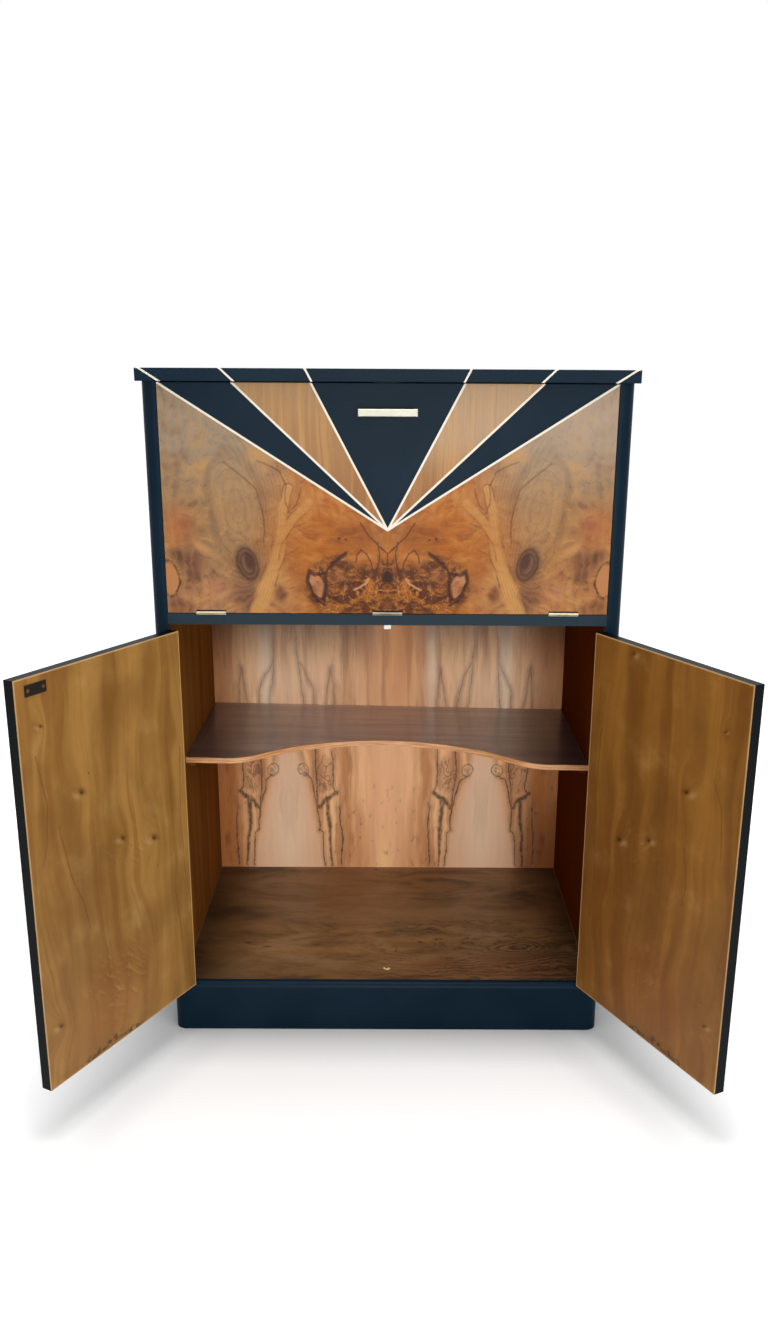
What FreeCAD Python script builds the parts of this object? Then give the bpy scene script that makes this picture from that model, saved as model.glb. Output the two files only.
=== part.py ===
"""Bar cabinet: a two-door cupboard under a compartment closed by a fold-out flap.

Millimetres, +X to the right, +Y to the back, +Z up. The origin is on the floor, at the
centre of the carcass footprint. The two doors stand open and the flap is closed.
"""
import FreeCAD, Part
import math
import os

# Carcass
CARCASS_WIDTH = 780.0
CARCASS_DEPTH = 511.0
PLINTH_HEIGHT = 96.0
CUPBOARD_HEIGHT = 671.0
DIVIDER_THICKNESS = 18.5
BAR_HEIGHT = 370.5
TOP_THICKNESS = 20.0
TOP_SIDE_OVERHANG = 5.0
TOP_FRONT_OVERHANG = 12.0
TOP_EDGE_RADIUS = 1.2
STILE_WIDTH = 25.0
STILE_DEPTH = 25.0
CORNER_RADIUS = 20.0
SIDE_THICKNESS = 13.0
LINING_THICKNESS = 2.0
FLOOR_THICKNESS = 15.0
BACK_THICKNESS = 6.0
PLINTH_BOARD_THICKNESS = 14.0
PLINTH_TOP_RADIUS = 12.0
RAIL_THICKNESS = 20.0
BEARER_WIDTH = 20.0
BLOCK_SIZE = 30.0
BLOCK_LIFT = 3.0
BACK_SCREW_COUNT = 4
BACK_SCREW_MARGIN = 60.0
BACK_JOINT_GAP = 0.5

# Shelf: its ends are straight and its front edge sweeps back in the middle
SHELF_HEIGHT = 476.5
SHELF_THICKNESS = 10.0
SHELF_DROP = 12.5
SHELF_END_SETBACK = 142.0
SHELF_BAY_SETBACK = 264.0
SHELF_BAY_RADIUS = 350.0
SHELF_SHOULDER_RADIUS = 85.0
SHELF_SIDE_GAP = 0.5
SHELF_BACK_GAP = 0.4
SHELF_SEAT_GAP = 0.1
LIPPING_WIDTH = 4.0
BATTEN_WIDTH = 12.0
BATTEN_HEIGHT = 18.0
BATTEN_SETBACK = 35.0
BATTEN_BACK_SPACE = 30.0

# Doors
DOOR_THICKNESS = 19.0
DOOR_VENEER = 1.0
DOOR_SIDE_GAP = 1.0
DOOR_TOP_GAP = 8.5
DOOR_BOTTOM_GAP = 3.5
DOOR_EDGE_RADIUS = 0.8
DOOR_OPENING_LEFT = 118.0
DOOR_OPENING_RIGHT = 117.0
DOOR_HINGE_LENGTH = 60.0
DOOR_HINGE_INSET = 60.0
DOOR_AXIS_STANDOFF = 2.0
DOOR_KNUCKLE_RADIUS = 2.6
DOOR_PIN_RADIUS = 1.5
DOOR_LEAF_REACH = 16.5
DOOR_HANDLE_FROM_EDGE = 33.0
DOOR_HANDLE_HEIGHT = 560.0
CATCH_PLATE_LENGTH = 41.0
CATCH_PLATE_HEIGHT = 17.0
CATCH_PLATE_THICKNESS = 1.5
CATCH_PLATE_FROM_EDGE = 19.0
CATCH_PLATE_FROM_TOP = 11.0
CATCH_SCREW_INSET = 5.5
CATCH_STUD_INSET = 12.0
CATCH_STUD_RADIUS = 1.6
CATCH_STUD_HEIGHT = 1.2
STOP_WIDTH = 11.6
STOP_DEPTH = 26.0
STOP_HEIGHT = 11.5
STOP_DOOR_GAP = 0.5
STOP_CHAMFER = 1.0

# Flap and its sunburst face
FLAP_THICKNESS = 19.0
FLAP_VENEER = 1.0
FLAP_SIDE_GAP = 1.0
FLAP_BOTTOM_GAP = 1.0
FLAP_TOP_GAP = 1.5
FLAP_EDGE_RADIUS = 0.5
SUN_APEX_DROP = 230.0
SUN_MIDDLE_SHARE = 0.675
SUN_INNER_SHARE = 0.334
SUN_LINE_WIDTH = 3.4
TOP_LINE_WIDTH = 3.0
TOP_LINE_DEPTH = 1.0
FLAP_HINGE_LENGTH = 49.0
FLAP_HINGE_INSET = 72.0
FLAP_AXIS_STANDOFF = 1.2
FLAP_AXIS_RISE = 1.7
FLAP_KNUCKLE_RADIUS = 2.4
FLAP_PIN_RADIUS = 1.2
FLAP_LEAF_REACH = 16.0
FLAP_REBATE_RISE = 6.0
FLAP_REBATE_DEPTH = 3.0
HANDLE_LENGTH = 94.0
HANDLE_HEIGHT = 11.5
HANDLE_THICKNESS = 6.0
HANDLE_STANDOFF = 15.0
HANDLE_POST_RADIUS = 3.8
HANDLE_POST_INSET = 11.0
HANDLE_EDGE = 0.9
HANDLE_GROOVE_INSET = 2.6
HANDLE_GROOVE_WIDTH = 0.7
HANDLE_GROOVE_DEPTH = 0.4
FLAP_HANDLE_DROP = 44.5
MAGNET_WIDTH = 46.0
MAGNET_DEPTH = 14.0
MAGNET_HEIGHT = 13.0
MAGNET_GAP = 0.3
KEEPER_WIDTH = 40.0
KEEPER_HEIGHT = 10.0
KEEPER_THICKNESS = 1.2

# Sliding stays: each rod is pinned to the flap and slides through a swivel on the wall
STAY_FROM_STILE = 15.0
STAY_PIN_DEPTH = 14.0
STAY_PIN_RISE = 210.0
STAY_CLOSED_CHORD = 40.0
STAY_ROD_RADIUS = 3.0
STAY_EYE_RADIUS = 6.5
STAY_EYE_MARGIN = 0.5
STAY_PIN_RADIUS = 2.5
STAY_COLLAR_RADIUS = 5.5
STAY_COLLAR_LENGTH = 6.0
STAY_STOP_GAP = 0.3
STAY_SLIDE_CLEARANCE = 0.3
SWIVEL_RADIUS = 9.0
SWIVEL_LENGTH = 16.0
SPIGOT_RADIUS = 4.0
BOSS_RADIUS = 9.0
FLANGE_RADIUS = 17.0
FLANGE_THICKNESS = 3.0
BRACKET_PLATE_WIDTH = 22.0
BRACKET_PLATE_HEIGHT = 46.0
BRACKET_PLATE_THICKNESS = 2.0
BRACKET_EAR_THICKNESS = 3.0

# Fits and fasteners
LEAF_THICKNESS = 1.5
HINGE_RELIEF = 0.3
KNUCKLE_GAP = 0.3
RUNNING_CLEARANCE = 0.05
SCREW_HEAD_RADIUS = 2.9
SCREW_HEAD_HEIGHT = 1.1
SCREW_SHANK_RADIUS = 1.4
SCREW_SLOT_WIDTH = 0.7
SCREW_SLOT_DEPTH = 0.5
SCREW_CLEARANCE = 0.05
SCREW_BITE = 12.0
FLOOR_HOLE_RADIUS = 2.2
FLOOR_HOLE_DEPTH = 8.0
FLOOR_HOLE_SETBACK = 56.0

# Planes and heights that follow from them
FRONT = -CARCASS_DEPTH / 2
REAR = CARCASS_DEPTH / 2
BACK_FACE = REAR - BACK_THICKNESS
HALF_WIDTH = CARCASS_WIDTH / 2
HALF_OPENING = HALF_WIDTH - STILE_WIDTH
HALF_INSIDE = HALF_WIDTH - SIDE_THICKNESS
HALF_LINED = HALF_INSIDE - LINING_THICKNESS
BEHIND_STILE = FRONT + STILE_DEPTH
FLOOR_TOP = PLINTH_HEIGHT
FLOOR_UNDER = PLINTH_HEIGHT - FLOOR_THICKNESS
DIVIDER_UNDER = PLINTH_HEIGHT + CUPBOARD_HEIGHT
DIVIDER_TOP = DIVIDER_UNDER + DIVIDER_THICKNESS
TOP_UNDER = DIVIDER_TOP + BAR_HEIGHT
TOP_SURFACE = TOP_UNDER + TOP_THICKNESS
BACK_JOINT = (DIVIDER_UNDER + DIVIDER_TOP) / 2
FLAP_HALF = HALF_OPENING - FLAP_SIDE_GAP
FLAP_BOTTOM = DIVIDER_TOP + FLAP_BOTTOM_GAP
FLAP_TOP = TOP_UNDER - FLAP_TOP_GAP
FLAP_INNER = FRONT + FLAP_THICKNESS
APEX_HEIGHT = FLAP_TOP - SUN_APEX_DROP
FLAP_HINGE_OFFSET = FLAP_HALF - FLAP_HINGE_INSET
SUN_MIDDLE_RAY = FLAP_HALF * SUN_MIDDLE_SHARE
SUN_INNER_RAY = FLAP_HALF * SUN_INNER_SHARE
FLAP_AXIS_Y = FRONT - FLAP_AXIS_STANDOFF
FLAP_AXIS_Z = DIVIDER_TOP + FLAP_AXIS_RISE
DOOR_BOTTOM = FLOOR_TOP + DOOR_BOTTOM_GAP
DOOR_TOP = DIVIDER_UNDER - DOOR_TOP_GAP
DOOR_HINGE_EDGE = HALF_OPENING - DOOR_SIDE_GAP
DOOR_AXIS_X = HALF_OPENING - DOOR_SIDE_GAP / 2
DOOR_AXIS_Y = FRONT - DOOR_AXIS_STANDOFF
DOOR_INNER = FRONT + DOOR_THICKNESS
SHELF_SLOPE = math.degrees(math.atan2(SHELF_DROP, 2 * HALF_LINED))

X_AXIS = FreeCAD.Vector(1, 0, 0)
Y_AXIS = FreeCAD.Vector(0, 1, 0)
Z_AXIS = FreeCAD.Vector(0, 0, 1)


# ---------------------------------------------------------------- shape helpers
def box(x0, x1, y0, y1, z0, z1):
    corner = FreeCAD.Vector(min(x0, x1), min(y0, y1), min(z0, z1))
    return Part.makeBox(abs(x1 - x0), abs(y1 - y0), abs(z1 - z0), corner)


def cylinder(radius, start, end):
    start = FreeCAD.Vector(*start)
    along = FreeCAD.Vector(*end) - start
    return Part.makeCylinder(radius, along.Length, start, along)


def prism_xy(points, z0, z1):
    corners = [FreeCAD.Vector(x, y, z0) for x, y in points]
    face = Part.Face(Part.makePolygon(corners + corners[:1]))
    return face.extrude(FreeCAD.Vector(0, 0, z1 - z0))


def prism_xz(points, y0, y1):
    corners = [FreeCAD.Vector(x, y0, z) for x, z in points]
    face = Part.Face(Part.makePolygon(corners + corners[:1]))
    return face.extrude(FreeCAD.Vector(0, y1 - y0, 0))


def mirrored(shape):
    return shape.mirror(FreeCAD.Vector(0, 0, 0), X_AXIS)


def turned(shape, centre, axis, degrees):
    copy = shape.copy()
    copy.rotate(FreeCAD.Vector(*centre), axis, degrees)
    return copy


def joined(shapes):
    if len(shapes) == 1:
        return shapes[0]
    return shapes[0].fuse(shapes[1:]).removeSplitter()


def without(shape, cutters):
    return shape.cut(list(cutters)) if cutters else shape


def rounded(shape, radius, wanted):
    edges = [edge for edge in shape.Edges if wanted(edge.BoundBox)]
    return shape.makeFillet(radius, edges)


def bevelled(shape, size, wanted):
    edges = [edge for edge in shape.Edges if wanted(edge.BoundBox)]
    return shape.makeChamfer(size, edges)


def save(name, shapes):
    solids = [solid for shape in shapes for solid in shape.Solids]
    whole = solids[0] if len(solids) == 1 else Part.makeCompound(solids)
    whole.exportStep("parts/" + name + ".step")


# ---------------------------------------------------------------- screws
def screw(head, inward, length):
    """A slotted screw: head is the middle of its flush head, inward its direction."""
    start = FreeCAD.Vector(*head)
    along = FreeCAD.Vector(*inward)
    body = Part.makeCylinder(SCREW_HEAD_RADIUS, SCREW_HEAD_HEIGHT, start, along)
    body = body.fuse(Part.makeCylinder(SCREW_SHANK_RADIUS, length, start, along))
    slot = Part.makeBox(2 * SCREW_HEAD_RADIUS, SCREW_SLOT_WIDTH, SCREW_SLOT_DEPTH,
                        FreeCAD.Vector(-SCREW_HEAD_RADIUS, -SCREW_SLOT_WIDTH / 2, 0))
    slot.Placement = FreeCAD.Placement(start, FreeCAD.Rotation(Z_AXIS, along)) * slot.Placement
    return body.cut(slot)


def screw_hole(head, inward, length):
    start = FreeCAD.Vector(*head)
    along = FreeCAD.Vector(*inward)
    hole = Part.makeCylinder(SCREW_HEAD_RADIUS + SCREW_CLEARANCE, SCREW_HEAD_HEIGHT, start, along)
    return hole.fuse(Part.makeCylinder(SCREW_SHANK_RADIUS + SCREW_CLEARANCE, length, start, along))


def screws(places):
    return [screw(*place) for place in places]


def holes(places):
    return [screw_hole(*place) for place in places]


def mirrored_places(places):
    flipped = []
    for head, inward, length in places:
        flipped.append(((-head[0], head[1], head[2]), (-inward[0], inward[1], inward[2]), length))
    return flipped


# ---------------------------------------------------------------- places of the screws
def even_positions(half, count):
    step = 2 * half / (count - 1)
    return [-half + step * index for index in range(count)]


def back_screw_places():
    length = BACK_THICKNESS + SCREW_BITE
    quarter = DIVIDER_THICKNESS / 4
    rows = [FLOOR_UNDER / 2, DIVIDER_UNDER + quarter, DIVIDER_TOP - quarter,
            TOP_UNDER - RAIL_THICKNESS / 2]
    columns = even_positions(HALF_INSIDE - BACK_SCREW_MARGIN, BACK_SCREW_COUNT)
    return [((x, REAR, z), (0, -1, 0), length) for z in rows for x in columns]


def batten_span():
    return FRONT + SHELF_END_SETBACK + BATTEN_SETBACK, BACK_FACE - BATTEN_BACK_SPACE


def shelf_underside(x):
    return SHELF_HEIGHT - SHELF_THICKNESS / math.cos(math.radians(SHELF_SLOPE)) \
        - x * math.tan(math.radians(SHELF_SLOPE))


def batten_top(side):
    inner = side * (HALF_LINED - BATTEN_WIDTH)
    outer = side * HALF_LINED
    return min(shelf_underside(inner), shelf_underside(outer)) - SHELF_SEAT_GAP


def batten_screw_places():
    start, end = batten_span()
    places = []
    for side in (-1, 1):
        height = batten_top(side) - BATTEN_HEIGHT / 2
        for y in (start + BATTEN_SETBACK, end - BATTEN_SETBACK):
            head = (side * (HALF_LINED - BATTEN_WIDTH), y, height)
            places.append((head, (side, 0, 0), BATTEN_WIDTH + LINING_THICKNESS + SIDE_THICKNESS / 2))
    return places


def stop_screw_place():
    y = DOOR_INNER + STOP_DOOR_GAP + STOP_DEPTH * 0.6
    return ((0, y, DIVIDER_UNDER - STOP_HEIGHT), (0, 0, 1), STOP_HEIGHT + SCREW_BITE)


def flap_hinge_centres():
    return (-FLAP_HINGE_OFFSET, 0.0, FLAP_HINGE_OFFSET)


def flap_hinge_screw_places(moving):
    z = FLAP_BOTTOM if moving else DIVIDER_TOP
    inward = (0, 0, 1) if moving else (0, 0, -1)
    y = FRONT + FLAP_LEAF_REACH * 0.6
    reach = FLAP_HINGE_LENGTH * 0.3
    return [((centre + offset, y, z), inward, SCREW_BITE)
            for centre in flap_hinge_centres() for offset in (-reach, reach)]


def door_hinge_bottoms():
    low = DOOR_BOTTOM + DOOR_HINGE_INSET
    high = DOOR_TOP - DOOR_HINGE_INSET - DOOR_HINGE_LENGTH
    return (low, high)


def door_hinge_screw_places(moving):
    """Screws of the left door's hinges, with the door closed."""
    x = -DOOR_HINGE_EDGE if moving else -HALF_OPENING
    inward = (1, 0, 0) if moving else (-1, 0, 0)
    y = FRONT + DOOR_LEAF_REACH * 0.6
    steps = (0.15, 0.85)
    return [((x, y, bottom + DOOR_HINGE_LENGTH * step), inward, SCREW_BITE)
            for bottom in door_hinge_bottoms() for step in steps]


def catch_plate_spot():
    """Free-edge side and top of the left door's catch plate, with the door closed."""
    free_edge = -DOOR_SIDE_GAP
    return free_edge - CATCH_PLATE_FROM_EDGE, DOOR_TOP - CATCH_PLATE_FROM_TOP


def catch_screw_places():
    edge, top = catch_plate_spot()
    z = top - CATCH_PLATE_HEIGHT / 2
    y = DOOR_INNER + CATCH_PLATE_THICKNESS
    xs = (edge - CATCH_SCREW_INSET, edge - CATCH_PLATE_LENGTH + CATCH_SCREW_INSET)
    return [((x, y, z), (0, -1, 0), CATCH_PLATE_THICKNESS + SCREW_BITE) for x in xs]


def handle_post_offsets():
    reach = HANDLE_LENGTH / 2 - HANDLE_POST_INSET
    return (-reach, reach)


def handle_screw_places():
    z = FLAP_TOP - FLAP_HANDLE_DROP
    length = FLAP_THICKNESS + HANDLE_STANDOFF / 2
    return [((x, FLAP_INNER, z), (0, -1, 0), length) for x in handle_post_offsets()]


# ---------------------------------------------------------------- carcass
def stile():
    """Left front post, rounded on its outer front corner."""
    post = box(-HALF_WIDTH, -HALF_OPENING, FRONT, BEHIND_STILE, PLINTH_HEIGHT, TOP_UNDER)
    post = rounded(post, CORNER_RADIUS, lambda b: b.ZLength > 1 and b.XMax < -HALF_OPENING - 1
                   and b.YMax < FRONT + 1)
    post = without(post, left_hinge_cutters())
    return without(post, holes(door_hinge_screw_places(False)))


def left_hinge_cutters():
    """Room in the stile for the fixed leaves and their knuckles."""
    cutters = []
    for bottom in door_hinge_bottoms():
        top = bottom + DOOR_HINGE_LENGTH
        cutters.append(box(-HALF_OPENING - LEAF_THICKNESS, -HALF_OPENING, FRONT,
                           FRONT + DOOR_LEAF_REACH, bottom, top))
        cutters.append(door_knuckle_relief(bottom, top))
    return cutters


def door_knuckle_relief(bottom, top):
    radius = DOOR_KNUCKLE_RADIUS + HINGE_RELIEF
    return cylinder(radius, (-DOOR_AXIS_X, DOOR_AXIS_Y, bottom), (-DOOR_AXIS_X, DOOR_AXIS_Y, top))


def side_panel():
    panel = box(-HALF_WIDTH, -HALF_INSIDE, BEHIND_STILE, REAR, 0, TOP_UNDER)
    left_places = [place for place in batten_screw_places() if place[0][0] < 0]
    return without(panel, holes(left_places) + holes(wall_screw_places()))


def right_side_panel():
    panel = box(HALF_INSIDE, HALF_WIDTH, BEHIND_STILE, REAR, 0, TOP_UNDER)
    right_places = [place for place in batten_screw_places() if place[0][0] > 0]
    return without(panel, holes(right_places) + holes(mirrored_places(wall_screw_places())))


def side_lining(side):
    """Veneered sheets on one wall, below and above the divider."""
    places = [place for place in batten_screw_places() if place[0][0] * side > 0]
    wall = wall_screw_places() if side < 0 else mirrored_places(wall_screw_places())
    lower = box(side * HALF_LINED, side * HALF_INSIDE, BEHIND_STILE, BACK_FACE,
                FLOOR_TOP, DIVIDER_UNDER)
    upper = box(side * HALF_LINED, side * HALF_INSIDE, BEHIND_STILE, BACK_FACE,
                DIVIDER_TOP, TOP_UNDER)
    return [without(lower, holes(places)), without(upper, holes(wall))]


def top_blank():
    half = HALF_WIDTH + TOP_SIDE_OVERHANG
    board = box(-half, half, FRONT - TOP_FRONT_OVERHANG, REAR, TOP_UNDER, TOP_SURFACE)
    return rounded(board, TOP_EDGE_RADIUS, lambda b: b.YMin < REAR - 1)


def top_ray_lines():
    """Each ray as (x at the top's lower front edge, slope) for the right half."""
    rise = TOP_UNDER - APEX_HEIGHT
    slopes = [FLAP_HALF / SUN_APEX_DROP, SUN_MIDDLE_RAY / SUN_APEX_DROP,
              SUN_INNER_RAY / SUN_APEX_DROP]
    return [(slope * (rise - TOP_FRONT_OVERHANG / 2), slope) for slope in slopes]


def top_line_cutters():
    """Slanted bars on the top's front edge, carried on across its surface."""
    half = HALF_WIDTH + TOP_SIDE_OVERHANG
    front = FRONT - TOP_FRONT_OVERHANG
    bars = []
    for start, slope in top_ray_lines():
        width = TOP_LINE_WIDTH * math.hypot(1, slope) / 2
        high = start + slope * TOP_THICKNESS
        edge_bar = prism_xz([(start - width, TOP_UNDER), (start + width, TOP_UNDER),
                             (high + width, TOP_SURFACE), (high - width, TOP_SURFACE)],
                            front, front + TOP_LINE_DEPTH)
        bars.append(edge_bar)
        run = CARCASS_DEPTH + TOP_FRONT_OVERHANG
        if high + width < half:
            far = high + slope * run
            bars.append(prism_xy([(high - width, front), (high + width, front),
                                  (far + width, front + run), (far - width, front + run)],
                                 TOP_SURFACE - TOP_LINE_DEPTH, TOP_SURFACE))
    return bars


def top_board():
    lines = top_line_cutters()
    board = without(top_blank(), lines + [mirrored(line) for line in lines])
    return board


def top_inlay():
    blank = top_blank()
    pieces = []
    lines = top_line_cutters()
    taken = []
    for line in lines + [mirrored(line) for line in lines]:
        piece = without(line.common(blank), taken)
        taken.append(line)
        pieces.append(piece)
    return pieces


def notched_board(front_edge, z0, z1):
    """A board between the sides whose front tongue passes between the stiles."""
    outline = [(-HALF_INSIDE, BEHIND_STILE), (-HALF_OPENING, BEHIND_STILE),
               (-HALF_OPENING, front_edge), (HALF_OPENING, front_edge),
               (HALF_OPENING, BEHIND_STILE), (HALF_INSIDE, BEHIND_STILE),
               (HALF_INSIDE, BACK_FACE), (-HALF_INSIDE, BACK_FACE)]
    return prism_xy(outline, z0, z1)


def floor_board():
    board = notched_board(FRONT + PLINTH_BOARD_THICKNESS, FLOOR_UNDER, FLOOR_TOP)
    y = FRONT + FLOOR_HOLE_SETBACK
    hole = cylinder(FLOOR_HOLE_RADIUS, (0, y, FLOOR_TOP - FLOOR_HOLE_DEPTH), (0, y, FLOOR_TOP))
    return board.cut(hole)


def divider_board():
    board = box(-HALF_INSIDE, HALF_INSIDE, BEHIND_STILE, BACK_FACE, DIVIDER_UNDER, DIVIDER_TOP)
    return without(board, holes(back_screw_places()) + holes([stop_screw_place()]))


def divider_rail():
    rail = box(-HALF_OPENING, HALF_OPENING, FRONT, BEHIND_STILE, DIVIDER_UNDER, DIVIDER_TOP)
    cutters = holes(flap_hinge_screw_places(False)) + holes([stop_screw_place()])
    for centre in flap_hinge_centres():
        x0 = centre - FLAP_HINGE_LENGTH / 2
        x1 = centre + FLAP_HINGE_LENGTH / 2
        cutters.append(box(x0, x1, FRONT, FRONT + FLAP_LEAF_REACH,
                           DIVIDER_TOP - LEAF_THICKNESS, DIVIDER_TOP))
        cutters.append(flap_knuckle_relief(x0, x1))
    return without(rail, cutters)


def plinth_front():
    """Front board with end posts under the stiles and a rounded top edge between them."""
    board = box(-HALF_WIDTH, HALF_WIDTH, FRONT, BEHIND_STILE, 0, PLINTH_HEIGHT)
    board = rounded(board, CORNER_RADIUS, lambda b: b.ZLength > 1 and b.YMax < FRONT + 1)
    pocket = box(-HALF_OPENING, HALF_OPENING, FRONT + PLINTH_BOARD_THICKNESS, BEHIND_STILE,
                 0, PLINTH_HEIGHT)
    radius = PLINTH_TOP_RADIUS
    corner = box(-HALF_OPENING, HALF_OPENING, FRONT, FRONT + radius,
                 PLINTH_HEIGHT - radius, PLINTH_HEIGHT)
    round_edge = cylinder(radius, (-HALF_OPENING, FRONT + radius, PLINTH_HEIGHT - radius),
                          (HALF_OPENING, FRONT + radius, PLINTH_HEIGHT - radius))
    return board.cut([pocket, corner.cut(round_edge)])


def plinth_back():
    rail = box(-HALF_INSIDE, HALF_INSIDE, BACK_FACE - RAIL_THICKNESS, BACK_FACE, 0, FLOOR_UNDER)
    return without(rail, holes(back_screw_places()))


def plinth_bearer():
    return box(-BEARER_WIDTH / 2, BEARER_WIDTH / 2, FRONT + PLINTH_BOARD_THICKNESS,
               BACK_FACE - RAIL_THICKNESS, 0, FLOOR_UNDER)


def plinth_blocks():
    blocks = []
    rear = BACK_FACE - RAIL_THICKNESS
    for y0 in (BEHIND_STILE, rear - BLOCK_SIZE):
        block = box(-HALF_INSIDE, -HALF_INSIDE + BLOCK_SIZE, y0, y0 + BLOCK_SIZE,
                    BLOCK_LIFT, FLOOR_UNDER)
        blocks += [block, mirrored(block)]
    return blocks


def top_back_rail():
    rail = box(-HALF_LINED, HALF_LINED, BACK_FACE - RAIL_THICKNESS, BACK_FACE,
               TOP_UNDER - RAIL_THICKNESS, TOP_UNDER)
    return without(rail, holes(back_screw_places()))


def back_panel(z0, z1):
    panel = box(-HALF_INSIDE, HALF_INSIDE, BACK_FACE, REAR, z0, z1)
    return without(panel, holes(back_screw_places()))


# ---------------------------------------------------------------- shelf
def shelf_outline(inset):
    """Plan of the shelf, its front edge moved back by inset, as a wire at height 0."""
    half = HALF_LINED - SHELF_SIDE_GAP
    back = BACK_FACE - SHELF_BACK_GAP
    front = FRONT + SHELF_END_SETBACK
    bay_centre = FRONT + SHELF_BAY_SETBACK - SHELF_BAY_RADIUS
    shoulder_y = front + SHELF_SHOULDER_RADIUS
    reach = SHELF_BAY_RADIUS + SHELF_SHOULDER_RADIUS
    shoulder_x = math.sqrt(reach ** 2 - (shoulder_y - bay_centre) ** 2)
    bay = SHELF_BAY_RADIUS + inset
    shoulder = SHELF_SHOULDER_RADIUS - inset
    share = bay / reach
    join = (shoulder_x * share, bay_centre + (shoulder_y - bay_centre) * share)
    angle = (math.atan2(bay_centre - shoulder_y, -shoulder_x) - math.pi / 2) / 2
    middle = (shoulder_x + shoulder * math.cos(angle), shoulder_y + shoulder * math.sin(angle))

    def point(x, y):
        return FreeCAD.Vector(x, y, 0)

    edges = [Part.LineSegment(point(-half, front + inset), point(-shoulder_x, front + inset)),
             Part.Arc(point(-shoulder_x, front + inset), point(-middle[0], middle[1]),
                      point(-join[0], join[1])),
             Part.Arc(point(-join[0], join[1]), point(0, bay_centre + bay), point(*join)),
             Part.Arc(point(*join), point(*middle), point(shoulder_x, front + inset)),
             Part.LineSegment(point(shoulder_x, front + inset), point(half, front + inset)),
             Part.LineSegment(point(half, front + inset), point(half, back)),
             Part.LineSegment(point(half, back), point(-half, back)),
             Part.LineSegment(point(-half, back), point(-half, front + inset))]
    return Part.Wire([edge.toShape() for edge in edges])


def shelf_slab(inset):
    face = Part.Face(shelf_outline(inset))
    slab = face.extrude(FreeCAD.Vector(0, 0, -SHELF_THICKNESS))
    slab.translate(FreeCAD.Vector(0, 0, SHELF_HEIGHT))
    return turned(slab, (0, 0, SHELF_HEIGHT), Y_AXIS, SHELF_SLOPE)


def shelf_battens():
    start, end = batten_span()
    battens = []
    for side in (-1, 1):
        top = batten_top(side)
        batten = box(side * (HALF_LINED - BATTEN_WIDTH), side * HALF_LINED, start, end,
                     top - BATTEN_HEIGHT, top)
        battens.append(without(batten, holes(batten_screw_places())))
    return battens


def door_stop():
    front = DOOR_INNER + STOP_DOOR_GAP
    bottom = DIVIDER_UNDER - STOP_HEIGHT
    block = box(-STOP_WIDTH / 2, STOP_WIDTH / 2, front, front + STOP_DEPTH, bottom, DIVIDER_UNDER)
    block = bevelled(block, STOP_CHAMFER, lambda b: b.ZMax < bottom + 0.1)
    return without(block, holes([stop_screw_place()]))


# ---------------------------------------------------------------- flap hinges
def flap_axis_cylinder(radius, x0, x1):
    return cylinder(radius, (x0, FLAP_AXIS_Y, FLAP_AXIS_Z), (x1, FLAP_AXIS_Y, FLAP_AXIS_Z))


def flap_knuckle_relief(x0, x1):
    return flap_axis_cylinder(FLAP_KNUCKLE_RADIUS + HINGE_RELIEF, x0, x1)


def knuckle_spans(start, length):
    """Spans of the two outer knuckles and of the middle one along a hinge."""
    third = length / 3
    outer = [(start, start + third - KNUCKLE_GAP), (start + 2 * third + KNUCKLE_GAP, start + length)]
    return outer, [(start + third, start + 2 * third)]


def flap_hinge_leaf(centre, moving):
    x0 = centre - FLAP_HINGE_LENGTH / 2
    x1 = centre + FLAP_HINGE_LENGTH / 2
    z0 = FLAP_BOTTOM if moving else DIVIDER_TOP - LEAF_THICKNESS
    plate = box(x0, x1, FLAP_AXIS_Y, FRONT + FLAP_LEAF_REACH, z0, z0 + LEAF_THICKNESS)
    outer, middle = knuckle_spans(x0, FLAP_HINGE_LENGTH)
    own, other = (middle, outer) if moving else (outer, middle)
    cleared = [flap_knuckle_relief(a - KNUCKLE_GAP, b + KNUCKLE_GAP) for a, b in other]
    knuckles = [flap_axis_cylinder(FLAP_KNUCKLE_RADIUS, a, b) for a, b in own]
    leaf = joined([without(plate, cleared)] + knuckles)
    bore = flap_axis_cylinder(FLAP_PIN_RADIUS + RUNNING_CLEARANCE, x0, x1)
    return without(leaf, [bore] + holes(flap_hinge_screw_places(moving)))


def flap_hinge_pins():
    half = FLAP_HINGE_LENGTH / 2
    return [flap_axis_cylinder(FLAP_PIN_RADIUS, centre - half, centre + half)
            for centre in flap_hinge_centres()]


# ---------------------------------------------------------------- door hinges
def door_axis_cylinder(radius, z0, z1):
    return cylinder(radius, (-DOOR_AXIS_X, DOOR_AXIS_Y, z0), (-DOOR_AXIS_X, DOOR_AXIS_Y, z1))


def door_hinge_leaf(bottom, moving):
    """One leaf of a left door hinge, with the door closed."""
    x0 = -DOOR_HINGE_EDGE if moving else -HALF_OPENING - LEAF_THICKNESS
    top = bottom + DOOR_HINGE_LENGTH
    plate = box(x0, x0 + LEAF_THICKNESS, DOOR_AXIS_Y, FRONT + DOOR_LEAF_REACH, bottom, top)
    outer, middle = knuckle_spans(bottom, DOOR_HINGE_LENGTH)
    own, other = (middle, outer) if moving else (outer, middle)
    cleared = [door_knuckle_relief(a - KNUCKLE_GAP, b + KNUCKLE_GAP) for a, b in other]
    knuckles = [door_axis_cylinder(DOOR_KNUCKLE_RADIUS, a, b) for a, b in own]
    leaf = joined([without(plate, cleared)] + knuckles)
    bore = door_axis_cylinder(DOOR_PIN_RADIUS + RUNNING_CLEARANCE, bottom, top)
    return without(leaf, [bore] + holes(door_hinge_screw_places(moving)))


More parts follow.
